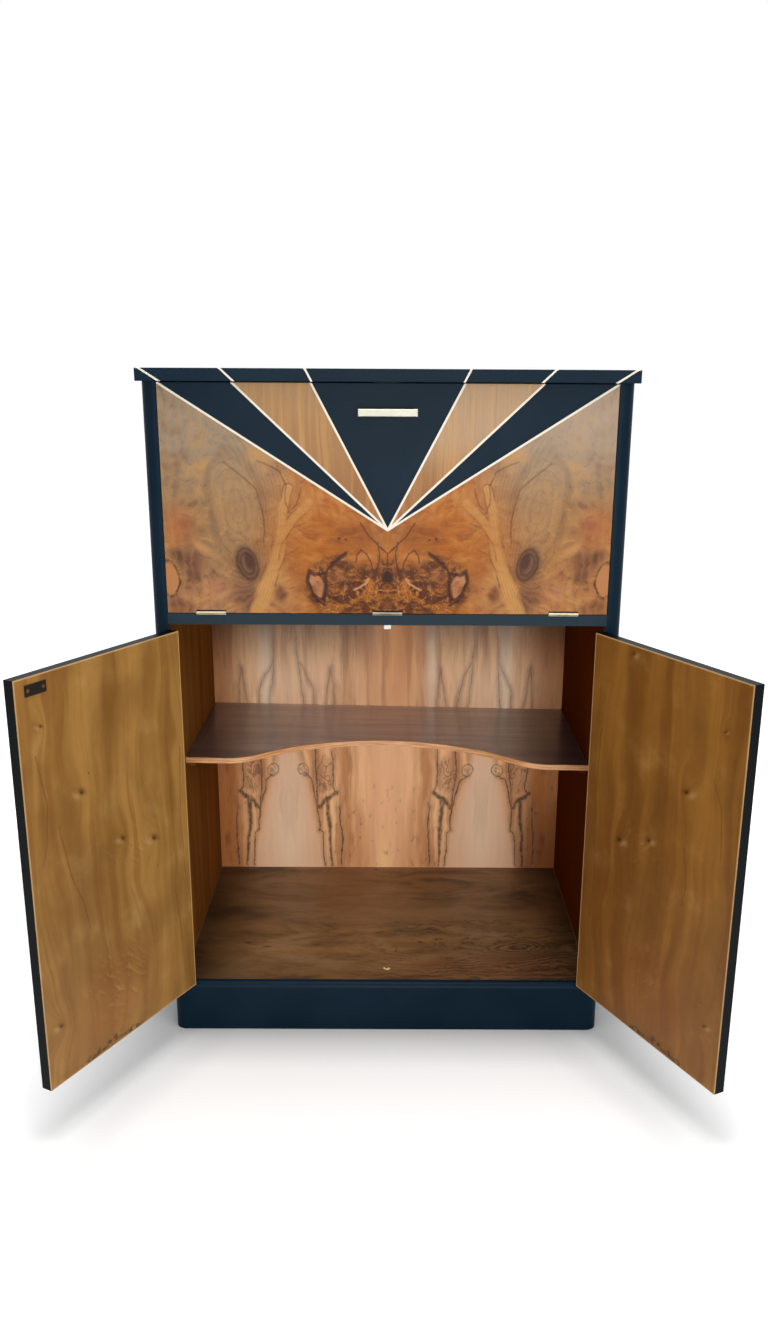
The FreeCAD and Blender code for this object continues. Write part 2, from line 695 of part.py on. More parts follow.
def door_hinge_pins():
    return [door_axis_cylinder(DOOR_PIN_RADIUS, bottom, bottom + DOOR_HINGE_LENGTH)
            for bottom in door_hinge_bottoms()]


# ---------------------------------------------------------------- doors (built closed)
def door_blank():
    """The left door, closed: its hinge edge is at the left."""
    blank = box(-DOOR_HINGE_EDGE, -DOOR_SIDE_GAP, FRONT, DOOR_INNER, DOOR_BOTTOM, DOOR_TOP)
    return rounded(blank, DOOR_EDGE_RADIUS, lambda b: b.YMax < FRONT + 0.1
                   or (b.YLength > 1 and b.XMin > -DOOR_SIDE_GAP - 0.1))


def door_hinge_recesses():
    cutters = []
    for bottom in door_hinge_bottoms():
        top = bottom + DOOR_HINGE_LENGTH
        cutters.append(box(-DOOR_HINGE_EDGE, -DOOR_HINGE_EDGE + LEAF_THICKNESS, FRONT,
                           FRONT + DOOR_LEAF_REACH, bottom, top))
        cutters.append(door_knuckle_relief(bottom, top))
    return cutters


def door_core(extra_holes):
    slab = box(-DOOR_HINGE_EDGE, 0, FRONT, DOOR_INNER - DOOR_VENEER, DOOR_BOTTOM, DOOR_TOP)
    cutters = door_hinge_recesses() + holes(door_hinge_screw_places(True)) + extra_holes
    return without(door_blank().common(slab), cutters)


def door_veneer(extra_holes):
    slab = box(-DOOR_HINGE_EDGE, 0, DOOR_INNER - DOOR_VENEER, DOOR_INNER, DOOR_BOTTOM, DOOR_TOP)
    return without(door_blank().common(slab), extra_holes)


def catch_plate():
    edge, top = catch_plate_spot()
    plate = box(edge - CATCH_PLATE_LENGTH, edge, DOOR_INNER, DOOR_INNER + CATCH_PLATE_THICKNESS,
                top - CATCH_PLATE_HEIGHT, top)
    face = DOOR_INNER + CATCH_PLATE_THICKNESS
    x = edge - CATCH_STUD_INSET
    z = top - CATCH_PLATE_HEIGHT / 2
    stud = cylinder(CATCH_STUD_RADIUS, (x, face, z), (x, face + CATCH_STUD_HEIGHT, z))
    return without(plate.fuse(stud), holes(catch_screw_places()))


# ---------------------------------------------------------------- handles
def bar_handle():
    """A flat bar on two round posts, lying along X, its back face at y = 0."""
    half = HANDLE_LENGTH / 2
    front = -HANDLE_STANDOFF - HANDLE_THICKNESS
    bar = box(-half, half, front, -HANDLE_STANDOFF, -HANDLE_HEIGHT / 2, HANDLE_HEIGHT / 2)
    bar = bevelled(bar, HANDLE_EDGE, lambda b: b.YMax < front + 0.1)
    posts = [cylinder(HANDLE_POST_RADIUS, (x, -HANDLE_STANDOFF, 0), (x, 0, 0))
             for x in handle_post_offsets()]
    grooves = []
    for end in (-1, 1):
        x = end * (half - HANDLE_GROOVE_INSET)
        grooves.append(box(x - HANDLE_GROOVE_WIDTH / 2, x + HANDLE_GROOVE_WIDTH / 2, front,
                           front + HANDLE_GROOVE_DEPTH, -HANDLE_HEIGHT, HANDLE_HEIGHT))
    return without(joined([bar] + posts), grooves)


def flap_handle():
    handle = bar_handle()
    handle.translate(FreeCAD.Vector(0, FRONT, FLAP_TOP - FLAP_HANDLE_DROP))
    return without(handle, holes(handle_screw_places()))


def door_handle():
    """The left door's handle, upright, with the door closed."""
    handle = turned(bar_handle(), (0, 0, 0), Y_AXIS, 90)
    x = -DOOR_SIDE_GAP - DOOR_HANDLE_FROM_EDGE
    handle.translate(FreeCAD.Vector(x, FRONT, DOOR_HANDLE_HEIGHT))
    return handle


# ---------------------------------------------------------------- flap face
def clipped(points, origin, normal, offset):
    """The part of a convex outline on the side that normal points to, past offset."""
    def height(point):
        return (point[0] - origin[0]) * normal[0] + (point[1] - origin[1]) * normal[1] - offset

    kept = []
    for index, point in enumerate(points):
        previous = points[index - 1]
        here, before = height(point), height(previous)
        if (here > 0) != (before > 0):
            share = before / (before - here)
            kept.append((previous[0] + share * (point[0] - previous[0]),
                         previous[1] + share * (point[1] - previous[1])))
        if here > 0:
            kept.append(point)
    return kept


def ray_directions():
    """Unit vectors of the six rays, turning from the right-hand one to the left."""
    right = [(FLAP_HALF, SUN_APEX_DROP), (SUN_MIDDLE_RAY, SUN_APEX_DROP),
             (SUN_INNER_RAY, SUN_APEX_DROP)]
    every = right + [(-x, z) for x, z in reversed(right)]
    return [(x / math.hypot(x, z), z / math.hypot(x, z)) for x, z in every]


def left_of(direction):
    return (-direction[1], direction[0])


def opposite(vector):
    return (-vector[0], -vector[1])


def flap_outline():
    return [(-FLAP_HALF, FLAP_BOTTOM), (FLAP_HALF, FLAP_BOTTOM),
            (FLAP_HALF, FLAP_TOP), (-FLAP_HALF, FLAP_TOP)]


APEX = (0.0, APEX_HEIGHT)


def wedge_outline(index):
    """Field between ray index and the next one."""
    rays = ray_directions()
    half = SUN_LINE_WIDTH / 2
    outline = clipped(flap_outline(), APEX, left_of(rays[index]), half)
    return clipped(outline, APEX, opposite(left_of(rays[index + 1])), half)


def burr_outline(side):
    """Field under the outer ray, up to the mirror joint in the middle."""
    rays = ray_directions()
    half = SUN_LINE_WIDTH / 2
    normal = opposite(left_of(rays[0])) if side > 0 else left_of(rays[-1])
    outline = clipped(flap_outline(), APEX, normal, half)
    return clipped(outline, APEX, (side, 0), 0)


def line_outline(index):
    """One inlaid line, mitred against its neighbours at the apex."""
    rays = ray_directions()
    half = SUN_LINE_WIDTH / 2
    outline = clipped(flap_outline(), APEX, left_of(rays[index]), -half)
    outline = clipped(outline, APEX, opposite(left_of(rays[index])), -half)
    if index > 0:
        bisector = (rays[index][0] + rays[index - 1][0], rays[index][1] + rays[index - 1][1])
        outline = clipped(outline, APEX, left_of(bisector), 0)
    if index < len(rays) - 1:
        bisector = (rays[index][0] + rays[index + 1][0], rays[index][1] + rays[index + 1][1])
        outline = clipped(outline, APEX, opposite(left_of(bisector)), 0)
    return clipped(outline, APEX, (1 if index < len(rays) / 2 else -1, 0), 0)


def flap_blank():
    blank = box(-FLAP_HALF, FLAP_HALF, FRONT, FLAP_INNER, FLAP_BOTTOM, FLAP_TOP)
    return rounded(blank, FLAP_EDGE_RADIUS, lambda b: b.YMax < FRONT + 0.1)


def flap_hinge_recesses():
    cutters = []
    for centre in flap_hinge_centres():
        x0 = centre - FLAP_HINGE_LENGTH / 2
        x1 = centre + FLAP_HINGE_LENGTH / 2
        cutters.append(box(x0, x1, FRONT, FRONT + FLAP_LEAF_REACH,
                           FLAP_BOTTOM, FLAP_BOTTOM + LEAF_THICKNESS))
        cutters.append(box(x0 - HINGE_RELIEF, x1 + HINGE_RELIEF, FRONT, FRONT + FLAP_REBATE_DEPTH,
                           FLAP_BOTTOM, DIVIDER_TOP + FLAP_REBATE_RISE))
    return cutters


def face_piece(outline):
    piece = prism_xz(outline, FRONT, FRONT + FLAP_VENEER).common(flap_blank())
    cutters = flap_hinge_recesses() + holes(handle_screw_places())
    return without(piece, cutters)


def flap_core():
    slab = box(-FLAP_HALF, FLAP_HALF, FRONT + FLAP_VENEER, FLAP_INNER - FLAP_VENEER,
               FLAP_BOTTOM, FLAP_TOP)
    return without(slab, flap_hinge_recesses() + holes(flap_screw_places()))


def flap_inner_veneer():
    sheet = box(-FLAP_HALF, FLAP_HALF, FLAP_INNER - FLAP_VENEER, FLAP_INNER, FLAP_BOTTOM, FLAP_TOP)
    return without(sheet, holes(flap_screw_places()))


def keeper_plate():
    top = TOP_UNDER - (MAGNET_HEIGHT - KEEPER_HEIGHT) / 2 - FLAP_TOP_GAP
    return box(-KEEPER_WIDTH / 2, KEEPER_WIDTH / 2, FLAP_INNER, FLAP_INNER + KEEPER_THICKNESS,
               top - KEEPER_HEIGHT, top)


def magnet():
    front = FLAP_INNER + KEEPER_THICKNESS + MAGNET_GAP
    return box(-MAGNET_WIDTH / 2, MAGNET_WIDTH / 2, front, front + MAGNET_DEPTH,
               TOP_UNDER - MAGNET_HEIGHT, TOP_UNDER)


# ---------------------------------------------------------------- sliding stays (left side)
STAY_X = -(HALF_OPENING - STAY_FROM_STILE)
STAY_EYE_THICKNESS = 2 * (STAY_ROD_RADIUS + STAY_EYE_MARGIN)
FLANGE_SCREW_CIRCLE = (BOSS_RADIUS + FLANGE_RADIUS) / 2
PIN_POINT = (FLAP_INNER + STAY_PIN_DEPTH, FLAP_AXIS_Z + STAY_PIN_RISE)
PIN_REACH = math.hypot(PIN_POINT[0] - FLAP_AXIS_Y, STAY_PIN_RISE)
PIN_ANGLE = math.atan2(PIN_POINT[0] - FLAP_AXIS_Y, STAY_PIN_RISE)
SWIVEL_STEP = 2 * math.asin(STAY_CLOSED_CHORD / 2 / PIN_REACH)
SWIVEL_ANGLE = PIN_ANGLE + SWIVEL_STEP
SWIVEL_POINT = (FLAP_AXIS_Y + PIN_REACH * math.sin(SWIVEL_ANGLE),
                FLAP_AXIS_Z + PIN_REACH * math.cos(SWIVEL_ANGLE))
OPEN_CHORD = 2 * PIN_REACH * math.sin((math.pi / 2 + SWIVEL_STEP) / 2)


def rod_direction():
    """From the pin on the flap to the swivel, both on one circle about the flap's axis."""
    y = SWIVEL_POINT[0] - PIN_POINT[0]
    z = SWIVEL_POINT[1] - PIN_POINT[1]
    return y / STAY_CLOSED_CHORD, z / STAY_CLOSED_CHORD


def along_rod(distance):
    y, z = rod_direction()
    return (STAY_X, PIN_POINT[0] + y * distance, PIN_POINT[1] + z * distance)


def stay_rod():
    half_eye = STAY_EYE_THICKNESS / 2
    eye = cylinder(STAY_EYE_RADIUS, (STAY_X - half_eye, *PIN_POINT), (STAY_X + half_eye, *PIN_POINT))
    collar_start = OPEN_CHORD + SWIVEL_RADIUS + STAY_STOP_GAP
    end = collar_start + STAY_COLLAR_LENGTH
    bar = cylinder(STAY_ROD_RADIUS, along_rod(STAY_EYE_RADIUS / 2), along_rod(end))
    collar = cylinder(STAY_COLLAR_RADIUS, along_rod(collar_start), along_rod(end))
    rod = joined([bar, collar, eye])
    bore_radius = STAY_PIN_RADIUS + RUNNING_CLEARANCE
    bore = cylinder(bore_radius, (STAY_X - STAY_EYE_RADIUS, *PIN_POINT),
                    (STAY_X + STAY_EYE_RADIUS, *PIN_POINT))
    return rod.cut(bore)


def stay_swivel():
    half = SWIVEL_LENGTH / 2
    barrel = cylinder(SWIVEL_RADIUS, (STAY_X - half, *SWIVEL_POINT), (STAY_X + half, *SWIVEL_POINT))
    spigot = cylinder(SPIGOT_RADIUS, (-HALF_LINED + FLANGE_THICKNESS, *SWIVEL_POINT),
                      (STAY_X, *SWIVEL_POINT))
    swivel = joined([barrel, spigot])
    reach = STAY_CLOSED_CHORD / 2
    hole = cylinder(STAY_ROD_RADIUS + STAY_SLIDE_CLEARANCE, along_rod(STAY_CLOSED_CHORD - reach),
                    along_rod(STAY_CLOSED_CHORD + reach))
    return swivel.cut(hole)


def wall_bracket():
    """Flanged boss on the wall that carries the swivel's spigot."""
    wall = -HALF_LINED
    flange = cylinder(FLANGE_RADIUS, (wall, *SWIVEL_POINT), (wall + FLANGE_THICKNESS, *SWIVEL_POINT))
    end = STAY_X - SWIVEL_LENGTH / 2 - KNUCKLE_GAP
    boss = cylinder(BOSS_RADIUS, (wall, *SWIVEL_POINT), (end, *SWIVEL_POINT))
    bore = cylinder(SPIGOT_RADIUS + RUNNING_CLEARANCE,
                    (wall + FLANGE_THICKNESS - KNUCKLE_GAP, *SWIVEL_POINT), (end, *SWIVEL_POINT))
    return without(joined([flange, boss]), [bore] + holes(wall_screw_places()))


def wall_screw_places():
    places = []
    for turn in range(3):
        angle = math.radians(90 + 120 * turn)
        y = SWIVEL_POINT[0] + FLANGE_SCREW_CIRCLE * math.cos(angle)
        z = SWIVEL_POINT[1] + FLANGE_SCREW_CIRCLE * math.sin(angle)
        head = (-HALF_LINED + FLANGE_THICKNESS, y, z)
        places.append((head, (-1, 0, 0), FLANGE_THICKNESS + LINING_THICKNESS + SIDE_THICKNESS / 2))
    return places


def bracket_ear_x():
    """Inner side of the flap bracket's ear, which stands beside the rod's eye."""
    return STAY_X + STAY_EYE_THICKNESS / 2 + KNUCKLE_GAP


def bracket_screw_places():
    x = bracket_ear_x() + BRACKET_EAR_THICKNESS + SCREW_HEAD_RADIUS * 2
    y = FLAP_INNER + BRACKET_PLATE_THICKNESS
    reach = BRACKET_PLATE_HEIGHT / 2 - SCREW_HEAD_RADIUS * 2
    length = BRACKET_PLATE_THICKNESS + SCREW_BITE
    return [((x, y, PIN_POINT[1] + offset), (0, -1, 0), length) for offset in (-reach, reach)]


def flap_bracket():
    """Plate on the flap's inner face, with an ear and the pin that the rod turns on."""
    ear_x = bracket_ear_x()
    z = PIN_POINT[1]
    plate = box(ear_x, ear_x + BRACKET_PLATE_WIDTH, FLAP_INNER,
                FLAP_INNER + BRACKET_PLATE_THICKNESS,
                z - BRACKET_PLATE_HEIGHT / 2, z + BRACKET_PLATE_HEIGHT / 2)
    web = box(ear_x, ear_x + BRACKET_EAR_THICKNESS, FLAP_INNER, PIN_POINT[0],
              z - STAY_EYE_RADIUS, z + STAY_EYE_RADIUS)
    tip = cylinder(STAY_EYE_RADIUS, (ear_x, *PIN_POINT), (ear_x + BRACKET_EAR_THICKNESS, *PIN_POINT))
    pin_end = STAY_X - STAY_EYE_THICKNESS / 2 - KNUCKLE_GAP
    pin = cylinder(STAY_PIN_RADIUS, (ear_x, *PIN_POINT), (pin_end, *PIN_POINT))
    head = cylinder(STAY_PIN_RADIUS * 1.5, (pin_end, *PIN_POINT), (pin_end - 2, *PIN_POINT))
    return without(joined([plate, web, tip, pin, head]), holes(bracket_screw_places()))


def flap_screw_places():
    left = bracket_screw_places()
    return flap_hinge_screw_places(True) + handle_screw_places() + left + mirrored_places(left)


# ---------------------------------------------------------------- nodes
def open_left(shape):
    return turned(shape, (-DOOR_AXIS_X, DOOR_AXIS_Y, 0), Z_AXIS, -DOOR_OPENING_LEFT)


def open_right(shape):
    """A left-hand, closed piece made right-hand and swung open."""
    return turned(mirrored(shape), (DOOR_AXIS_X, DOOR_AXIS_Y, 0), Z_AXIS, DOOR_OPENING_RIGHT)


def both(shape):
    return [shape, mirrored(shape)]


def save_carcass():
    save("side_panel_left", [side_panel()])
    save("side_panel_right", [right_side_panel()])
    save("side_lining_left", side_lining(-1))
    save("side_lining_right", side_lining(1))
    save("stile_left", [stile()])
    save("stile_right", [mirrored(stile())])
    save("top_board", [top_board()])
    save("top_inlay_lines", top_inlay())
    save("top_back_rail", [top_back_rail()])
    save("divider_board", [divider_board()])
    save("divider_rail", [divider_rail()])
    save("floor_board", [floor_board()])
    save("plinth_front", [plinth_front()])
    save("plinth_back", [plinth_back()])
    save("plinth_bearer", [plinth_bearer()])
    save("plinth_blocks", plinth_blocks())
    save("back_panel_lower", [back_panel(FLOOR_UNDER / 4, BACK_JOINT)])
    save("back_panel_upper", [back_panel(BACK_JOINT + BACK_JOINT_GAP, TOP_UNDER)])
    save("back_panel_screws", screws(back_screw_places()))


def save_cupboard_fittings():
    save("shelf_board", [shelf_slab(LIPPING_WIDTH)])
    save("shelf_lipping", [shelf_slab(0).cut(shelf_slab(LIPPING_WIDTH))])
    save("shelf_battens", shelf_battens())
    save("shelf_batten_screws", screws(batten_screw_places()))
    save("door_stop", [door_stop()])
    save("door_stop_screw", [screw(*stop_screw_place())])
    fixed = [door_hinge_leaf(bottom, False) for bottom in door_hinge_bottoms()]
    save("door_hinge_leaves_fixed", fixed + [mirrored(leaf) for leaf in fixed])
    pins = door_hinge_pins()
    save("door_hinge_pins", pins + [mirrored(pin) for pin in pins])
    places = door_hinge_screw_places(False)
    save("door_hinge_screws_fixed", screws(places) + screws(mirrored_places(places)))


def save_bar_fittings():
    save("flap_hinge_leaves_fixed", [flap_hinge_leaf(x, False) for x in flap_hinge_centres()])
    save("flap_hinge_pins", flap_hinge_pins())
    save("flap_hinge_screws_fixed", screws(flap_hinge_screw_places(False)))
    save("stay_wall_brackets", both(wall_bracket()))
    places = wall_screw_places()
    save("stay_wall_screws", screws(places) + screws(mirrored_places(places)))
    save("flap_catch_magnet", [magnet()])


def save_flap():
    save("flap_core", [flap_core()])
    save("flap_inner_veneer", [flap_inner_veneer()])
    save("flap_veneer_burr", [face_piece(burr_outline(side)) for side in (-1, 1)])
    save("flap_veneer_straight", [face_piece(wedge_outline(index)) for index in (1, 3)])
    save("flap_painted_rays", [face_piece(wedge_outline(index)) for index in (0, 2, 4)])
    save("flap_inlay_lines", [face_piece(line_outline(index)) for index in range(6)])
    save("flap_handle", [flap_handle()])
    save("flap_hinge_leaves_moving", [flap_hinge_leaf(x, True) for x in flap_hinge_centres()])
    save("stay_flap_brackets", both(flap_bracket()))
    save("flap_screws", screws(flap_screw_places()))
    save("flap_catch_plate", [keeper_plate()])


def save_stays():
    save("stay_rod_left", [stay_rod()])
    save("stay_rod_right", [mirrored(stay_rod())])
    save("stay_swivel_left", [stay_swivel()])
    save("stay_swivel_right", [mirrored(stay_swivel())])


def save_doors():
    catch_holes = holes(catch_screw_places())
    leaves = [door_hinge_leaf(bottom, True) for bottom in door_hinge_bottoms()]
    places = door_hinge_screw_places(True)
    save("door_left_core", [open_left(door_core(catch_holes))])
    save("door_left_veneer", [open_left(door_veneer(catch_holes))])
    save("door_left_handle", [open_left(door_handle())])
    save("door_left_hinge_leaves", [open_left(leaf) for leaf in leaves])
    save("door_left_screws", [open_left(piece) for piece in screws(places + catch_screw_places())])
    save("catch_plate", [open_left(catch_plate())])
    save("door_right_core", [open_right(door_core([]))])
    save("door_right_veneer", [open_right(door_veneer([]))])
    save("door_right_handle", [open_right(door_handle())])
    save("door_right_hinge_leaves", [open_right(leaf) for leaf in leaves])
    save("door_right_screws", [open_right(piece) for piece in screws(places)])


def main():
    os.makedirs("parts", exist_ok=True)
    save_carcass()
    save_cupboard_fittings()
    save_bar_fittings()
    save_flap()
    save_stays()
    save_doors()


main()
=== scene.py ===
"""Bar cabinet with a fold-out flap: its finishes, small worn details, stage, light and camera.

Lengths inside a finish are millimetres in the cabinet's own frame; objects are in metres.
"""
import math
import random

import bmesh
import bpy
from bpy.props import FloatProperty, FloatVectorProperty, IntProperty, PointerProperty
from mathutils import Matrix, Vector


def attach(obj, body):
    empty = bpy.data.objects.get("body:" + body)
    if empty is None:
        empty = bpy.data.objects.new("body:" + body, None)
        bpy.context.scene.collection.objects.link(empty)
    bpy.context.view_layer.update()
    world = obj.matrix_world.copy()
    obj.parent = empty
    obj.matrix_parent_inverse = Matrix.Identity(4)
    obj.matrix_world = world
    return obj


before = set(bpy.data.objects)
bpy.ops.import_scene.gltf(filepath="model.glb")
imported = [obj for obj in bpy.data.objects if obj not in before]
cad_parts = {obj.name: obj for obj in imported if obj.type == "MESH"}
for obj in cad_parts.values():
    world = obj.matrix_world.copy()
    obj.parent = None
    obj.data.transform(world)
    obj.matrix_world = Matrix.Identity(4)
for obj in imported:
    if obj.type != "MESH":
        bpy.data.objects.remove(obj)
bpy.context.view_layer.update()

bl_info = {
    "name": "Bar cabinet with fold-out flap",
    "version": (1, 0, 0),
    "blender": (4, 5, 0),
    "location": "3D View > Sidebar > Cabinet",
    "description": "Finishes, worn details, stage and light of a bar cabinet",
    "category": "Object",
}

MM = 0.001

# places on the cabinet, in millimetres
FRONT = -255.5
BACK_REAR = 254
BACK_LEAF = 220
FLOOR_TOP = 96
FLOOR_FRONT = 249.5
HOLE_SETBACK = 56
SHELF_LINE = 430
FLAP_AXIS = 787
DOOR_LENGTH = 363
DOOR_LOW = 99.5
DOOR_HIGH = 758.5
HINGE_X = 364.5
HINGE_Y = FRONT - 2
DOOR_TURN = {"left": math.radians(-118), "right": math.radians(117)}

# depth of each surface's relief, in metres
SMOOTH = 0.00004
LACQUERED = 0.00006
OPEN_PORED = 0.00008
PAINTED = 0.00012
SAWN = 0.0002
BUMP_STRENGTH = 0.6


# ---- settings
def tone(name, description, rgb):
    """A colour setting, given in 0-255 display values."""
    return FloatVectorProperty(name=name, description=description, subtype="COLOR_GAMMA", size=3,
                               min=0, max=1, default=[part / 255 for part in rgb])


def share(name, description, value):
    return FloatProperty(name=name, description=description, default=value, min=0, max=1,
                         subtype="FACTOR")


def length(name, description, value):
    return FloatProperty(name=name, description=description, default=value, min=0,
                         unit="LENGTH", subtype="DISTANCE", precision=4)


def power(name, description, value):
    return FloatProperty(name=name, description=description, default=value, min=0, unit="POWER")


class PaintSettings(bpy.types.PropertyGroup):
    navy: tone("Navy", "Satin paint of the case and the doors' outer faces", (6, 25, 37))
    # the rail's lighter grey-blue tone is a painted sheen, standing in for the highlight along the rail
    rail: tone("Rail", "Dusty paint of the rail under the flap", (34, 46, 54))
    # the doors' edge colour is painted shade: near black for edges that face away from the light
    edge: tone("Door edges", "Darker paint on the doors' cores", (2, 5, 7))
    worn: tone("Worn paint", "Paint rubbed thin on its edges", (28, 46, 60))
    sheen: share("Roughness", "Roughness of the satin paint", 0.38)


class FlapSettings(bpy.types.PropertyGroup):
    heart: tone("Heartwood", "Orange middle of the burr veneer", (192, 116, 50))
    tan: tone("Tan", "Paler wood towards the flap's ends", (164, 124, 88))
    pale: tone("Sapwood", "Pale streaks and edges", (206, 150, 92))
    # grey tan of the flap's upper corners: partly the wood's own tone, partly a painted sheen
    grey_and_sheen: tone("Grey tan", "Bleached wood in the upper corners", (168, 146, 124))
    figure: tone("Figure lines", "Dark lines of the figure", (92, 52, 34))
    burr: tone("Burr", "Brown of the burr clusters", (132, 74, 38))
    purple: tone("Purple brown", "Stained patches near the lower edge", (112, 72, 58))
    wedge: tone("Wedges", "Straight-grained veneer of the sun's rays", (170, 122, 76))
    inlay: tone("Inlay", "Light lines of the sunburst", (204, 195, 178))
    gloss: share("Roughness", "Roughness of the lacquer", 0.32)


class DoorSettings(bpy.types.PropertyGroup):
    light: tone("Light grain", "Light parts of the left door's inner veneer", (184, 138, 77))
    dark: tone("Dark grain", "Dark parts of the left door's inner veneer", (138, 96, 45))
    # the right door's tones are darker than the left door's: painted shade, as its inner face turns away
    # from the key light
    shaded_light_right: tone("Right light grain", "Light parts of the right door's inner veneer", (168, 116, 54))
    shaded_dark_right: tone("Right dark grain", "Dark parts of the right door's inner veneer", (124, 78, 32))
    knot: tone("Knots", "Small knots in the inner veneer", (104, 62, 26))
    border: tone("Border", "Thin light edge round the inner veneer", (214, 178, 128))


class InsideSettings(bpy.types.PropertyGroup):
    back: tone("Back", "Tan veneer of the back", (255, 204, 154))
    ash: tone("Pale arches", "Grey beige arches in the back's veneer", (244, 204, 172))
    glow: tone("Glow", "Orange middle of the back", (255, 203, 160))
    ink: tone("Ink lines", "Dark lines and eyes in the back's veneer", (44, 30, 26))
    walnut: tone("Walnut", "Side linings and shelf battens", (120, 75, 31))
    painted_shade_walnut: tone("Deep walnut", "Shaded parts of the linings", (80, 32, 3))
    board: tone("Boards", "Flap's inner face and the bar's boards", (86, 52, 29))
    shelf: tone("Shelf", "Top of the curved shelf", (188, 160, 158))
    floor: tone("Floor", "Floor of the cupboard", (130, 92, 52))
    lip: tone("Lip", "Light strip on the shelf's front", (232, 166, 108))


class FittingSettings(bpy.types.PropertyGroup):
    brass: tone("Pale brass", "Handles", (158, 157, 143))
    hinge: tone("Hinges", "Hinges and stays", (160, 152, 130))
    flake: length("Flake size", "Longest side of a loose splinter", 0.0045)
    flakes: IntProperty(name="Splinters", description="Splinters round the worn hole", default=9, min=0)
    seed: IntProperty(name="Seed", description="Seed of the splinters", default=7, min=0)


class StageSettings(bpy.types.PropertyGroup):
    floor_size: length("Floor size", "Side of the square floor", 40)
    key: power("Key light", "Power of the right-hand light", 34)
    fill: power("Fill light", "Power of the left-hand light", 7)
    front: power("Front light", "Power of the low light in front", 54)
    top: power("Top light", "Power of the light overhead", 64)
    world: share("World", "Strength of the even light from all round", 0.24)
    focal: FloatProperty(name="Focal length", description="Camera's focal length", default=30.354,
                         min=1, unit="CAMERA")


class CabinetSettings(bpy.types.PropertyGroup):
    paint: PointerProperty(type=PaintSettings, name="Paint", description="Painted boards")
    flap: PointerProperty(type=FlapSettings, name="Flap", description="Sunburst face of the flap")
    door: PointerProperty(type=DoorSettings, name="Doors", description="Inner faces of the doors")
    inside: PointerProperty(type=InsideSettings, name="Inside", description="Inside of the cupboard")
    fitting: PointerProperty(type=FittingSettings, name="Fittings", description="Metal and small parts")
    stage: PointerProperty(type=StageSettings, name="Stage", description="Floor, light and camera")


# ---- finishes
def linear(rgb):
    """Display colour to the shader's scene colour."""
    parts = [part / 12.92 if part <= 0.04045 else ((part + 0.055) / 1.055) ** 2.4 for part in rgb]
    return (*parts, 1)


def by(operation):
    return lambda self, other: self.finish.math(operation, self, other)


class Value:
    """A number or colour that varies over a surface: the output of one shader node."""

    def __init__(self, finish, socket):
        self.finish = finish
        self.socket = socket

    __add__ = __radd__ = by("ADD")
    __sub__ = by("SUBTRACT")
    __mul__ = __rmul__ = by("MULTIPLY")
    __truediv__ = by("DIVIDE")
    most = by("MAXIMUM")
    least = by("MINIMUM")

    def __rsub__(self, other):
        return self.finish.math("SUBTRACT", other, self)

    def __abs__(self):
        return self.finish.math("ABSOLUTE", self)

    def step(self, low, high):
        """0 below low and 1 above high, smooth between; low may be the larger."""
        return self.finish.node("MapRange", self, low, high, 0, 1, interpolation_type="SMOOTHSTEP")

    def saw(self):
        return self.finish.math("FRACT", self)

    def near(self, level, width, full=0):
        """1 where the value is at a level, fading over a width on both sides."""
        return abs(self - level).step(width, full)


class Finish:
    """A material, and the nodes that draw its pattern in millimetres of the cabinet's frame.

    Its colour starts as a tone and is built up in coats; a tone is a display colour, or a Value
    that holds one.
    """

    def __init__(self, name, tone, roughness, specular=0.5, **sockets):
        self.material = bpy.data.materials.new(name)
        self.material.use_nodes = True
        self.nodes = self.material.node_tree.nodes
        self.links = self.material.node_tree.links
        self.colour = tone
        self.set(Roughness=roughness, Specular_IOR_Level=specular, **sockets)
        split = self.nodes.new("ShaderNodeSeparateXYZ")
        self.links.new(self.nodes.new("ShaderNodeTexCoord").outputs["Object"], split.inputs[0])
        self.x, self.y, self.z = [Value(self, socket) * 1000 for socket in split.outputs]

    def set(self, **sockets):
        """Feeds sockets of the shader itself."""
        for name, value in sockets.items():
            self.feed(self.nodes["Principled BSDF"].inputs[name.replace("_", " ")], value)

    def feed(self, socket, value):
        if isinstance(value, Value):
            self.links.new(value.socket, socket)
        elif value is not None:
            socket.default_value = value

    def node(self, kind, *inputs, output=0, **settings):
        """Adds a node; a setting with a capital letter is a socket, any other a property."""
        made = self.nodes.new("ShaderNode" + kind)
        for key, value in settings.items():
            if key[0].isupper():
                self.feed(made.inputs[key], value)
            else:
                setattr(made, key, value)
        for socket, value in zip(made.inputs, inputs):
            self.feed(socket, value)
        return Value(self, made.outputs[output])

    def math(self, operation, *inputs, clamp=False):
        return self.node("Math", *inputs, operation=operation, use_clamp=clamp)

    def face(self, across, along):
        return Face(self, across, along)

    def mix(self, amount, *tones):
        """The first tone, covered with an amount of the second."""
        first, second = [tone if isinstance(tone, Value) else linear(tone) for tone in tones]
        return self.node("Mix", amount, *[None] * 5, first, second, output=2, data_type="RGBA")

    def shaded(self, tone, amount):
        """The tone times a grey amount that varies."""
        tone = tone if isinstance(tone, Value) else linear(tone)[:3]
        return self.node("VectorMath", tone, operation="SCALE", Scale=amount)

    def lay(self, amount, tone):
        """Covers the colour so far with an amount of a tone."""
        self.colour = self.mix(amount, self.colour, tone)

    def shade(self, amount):
        self.colour = self.shaded(self.colour, amount)

    def lacquer(self, power, tint):
        """More contrast, seen through a clear tinted lacquer."""
        self.colour = self.node("VectorMath", self.node("Gamma", self.colour, power), tint,
                                operation="MULTIPLY")

    def done(self, bump=None, depth=SAWN, roughness=None):
        self.set(Base_Color=self.colour, Roughness=roughness)
        if bump is not None:
            self.set(Normal=self.node("Bump", Height=bump, Distance=depth, Strength=BUMP_STRENGTH))
        return self.material


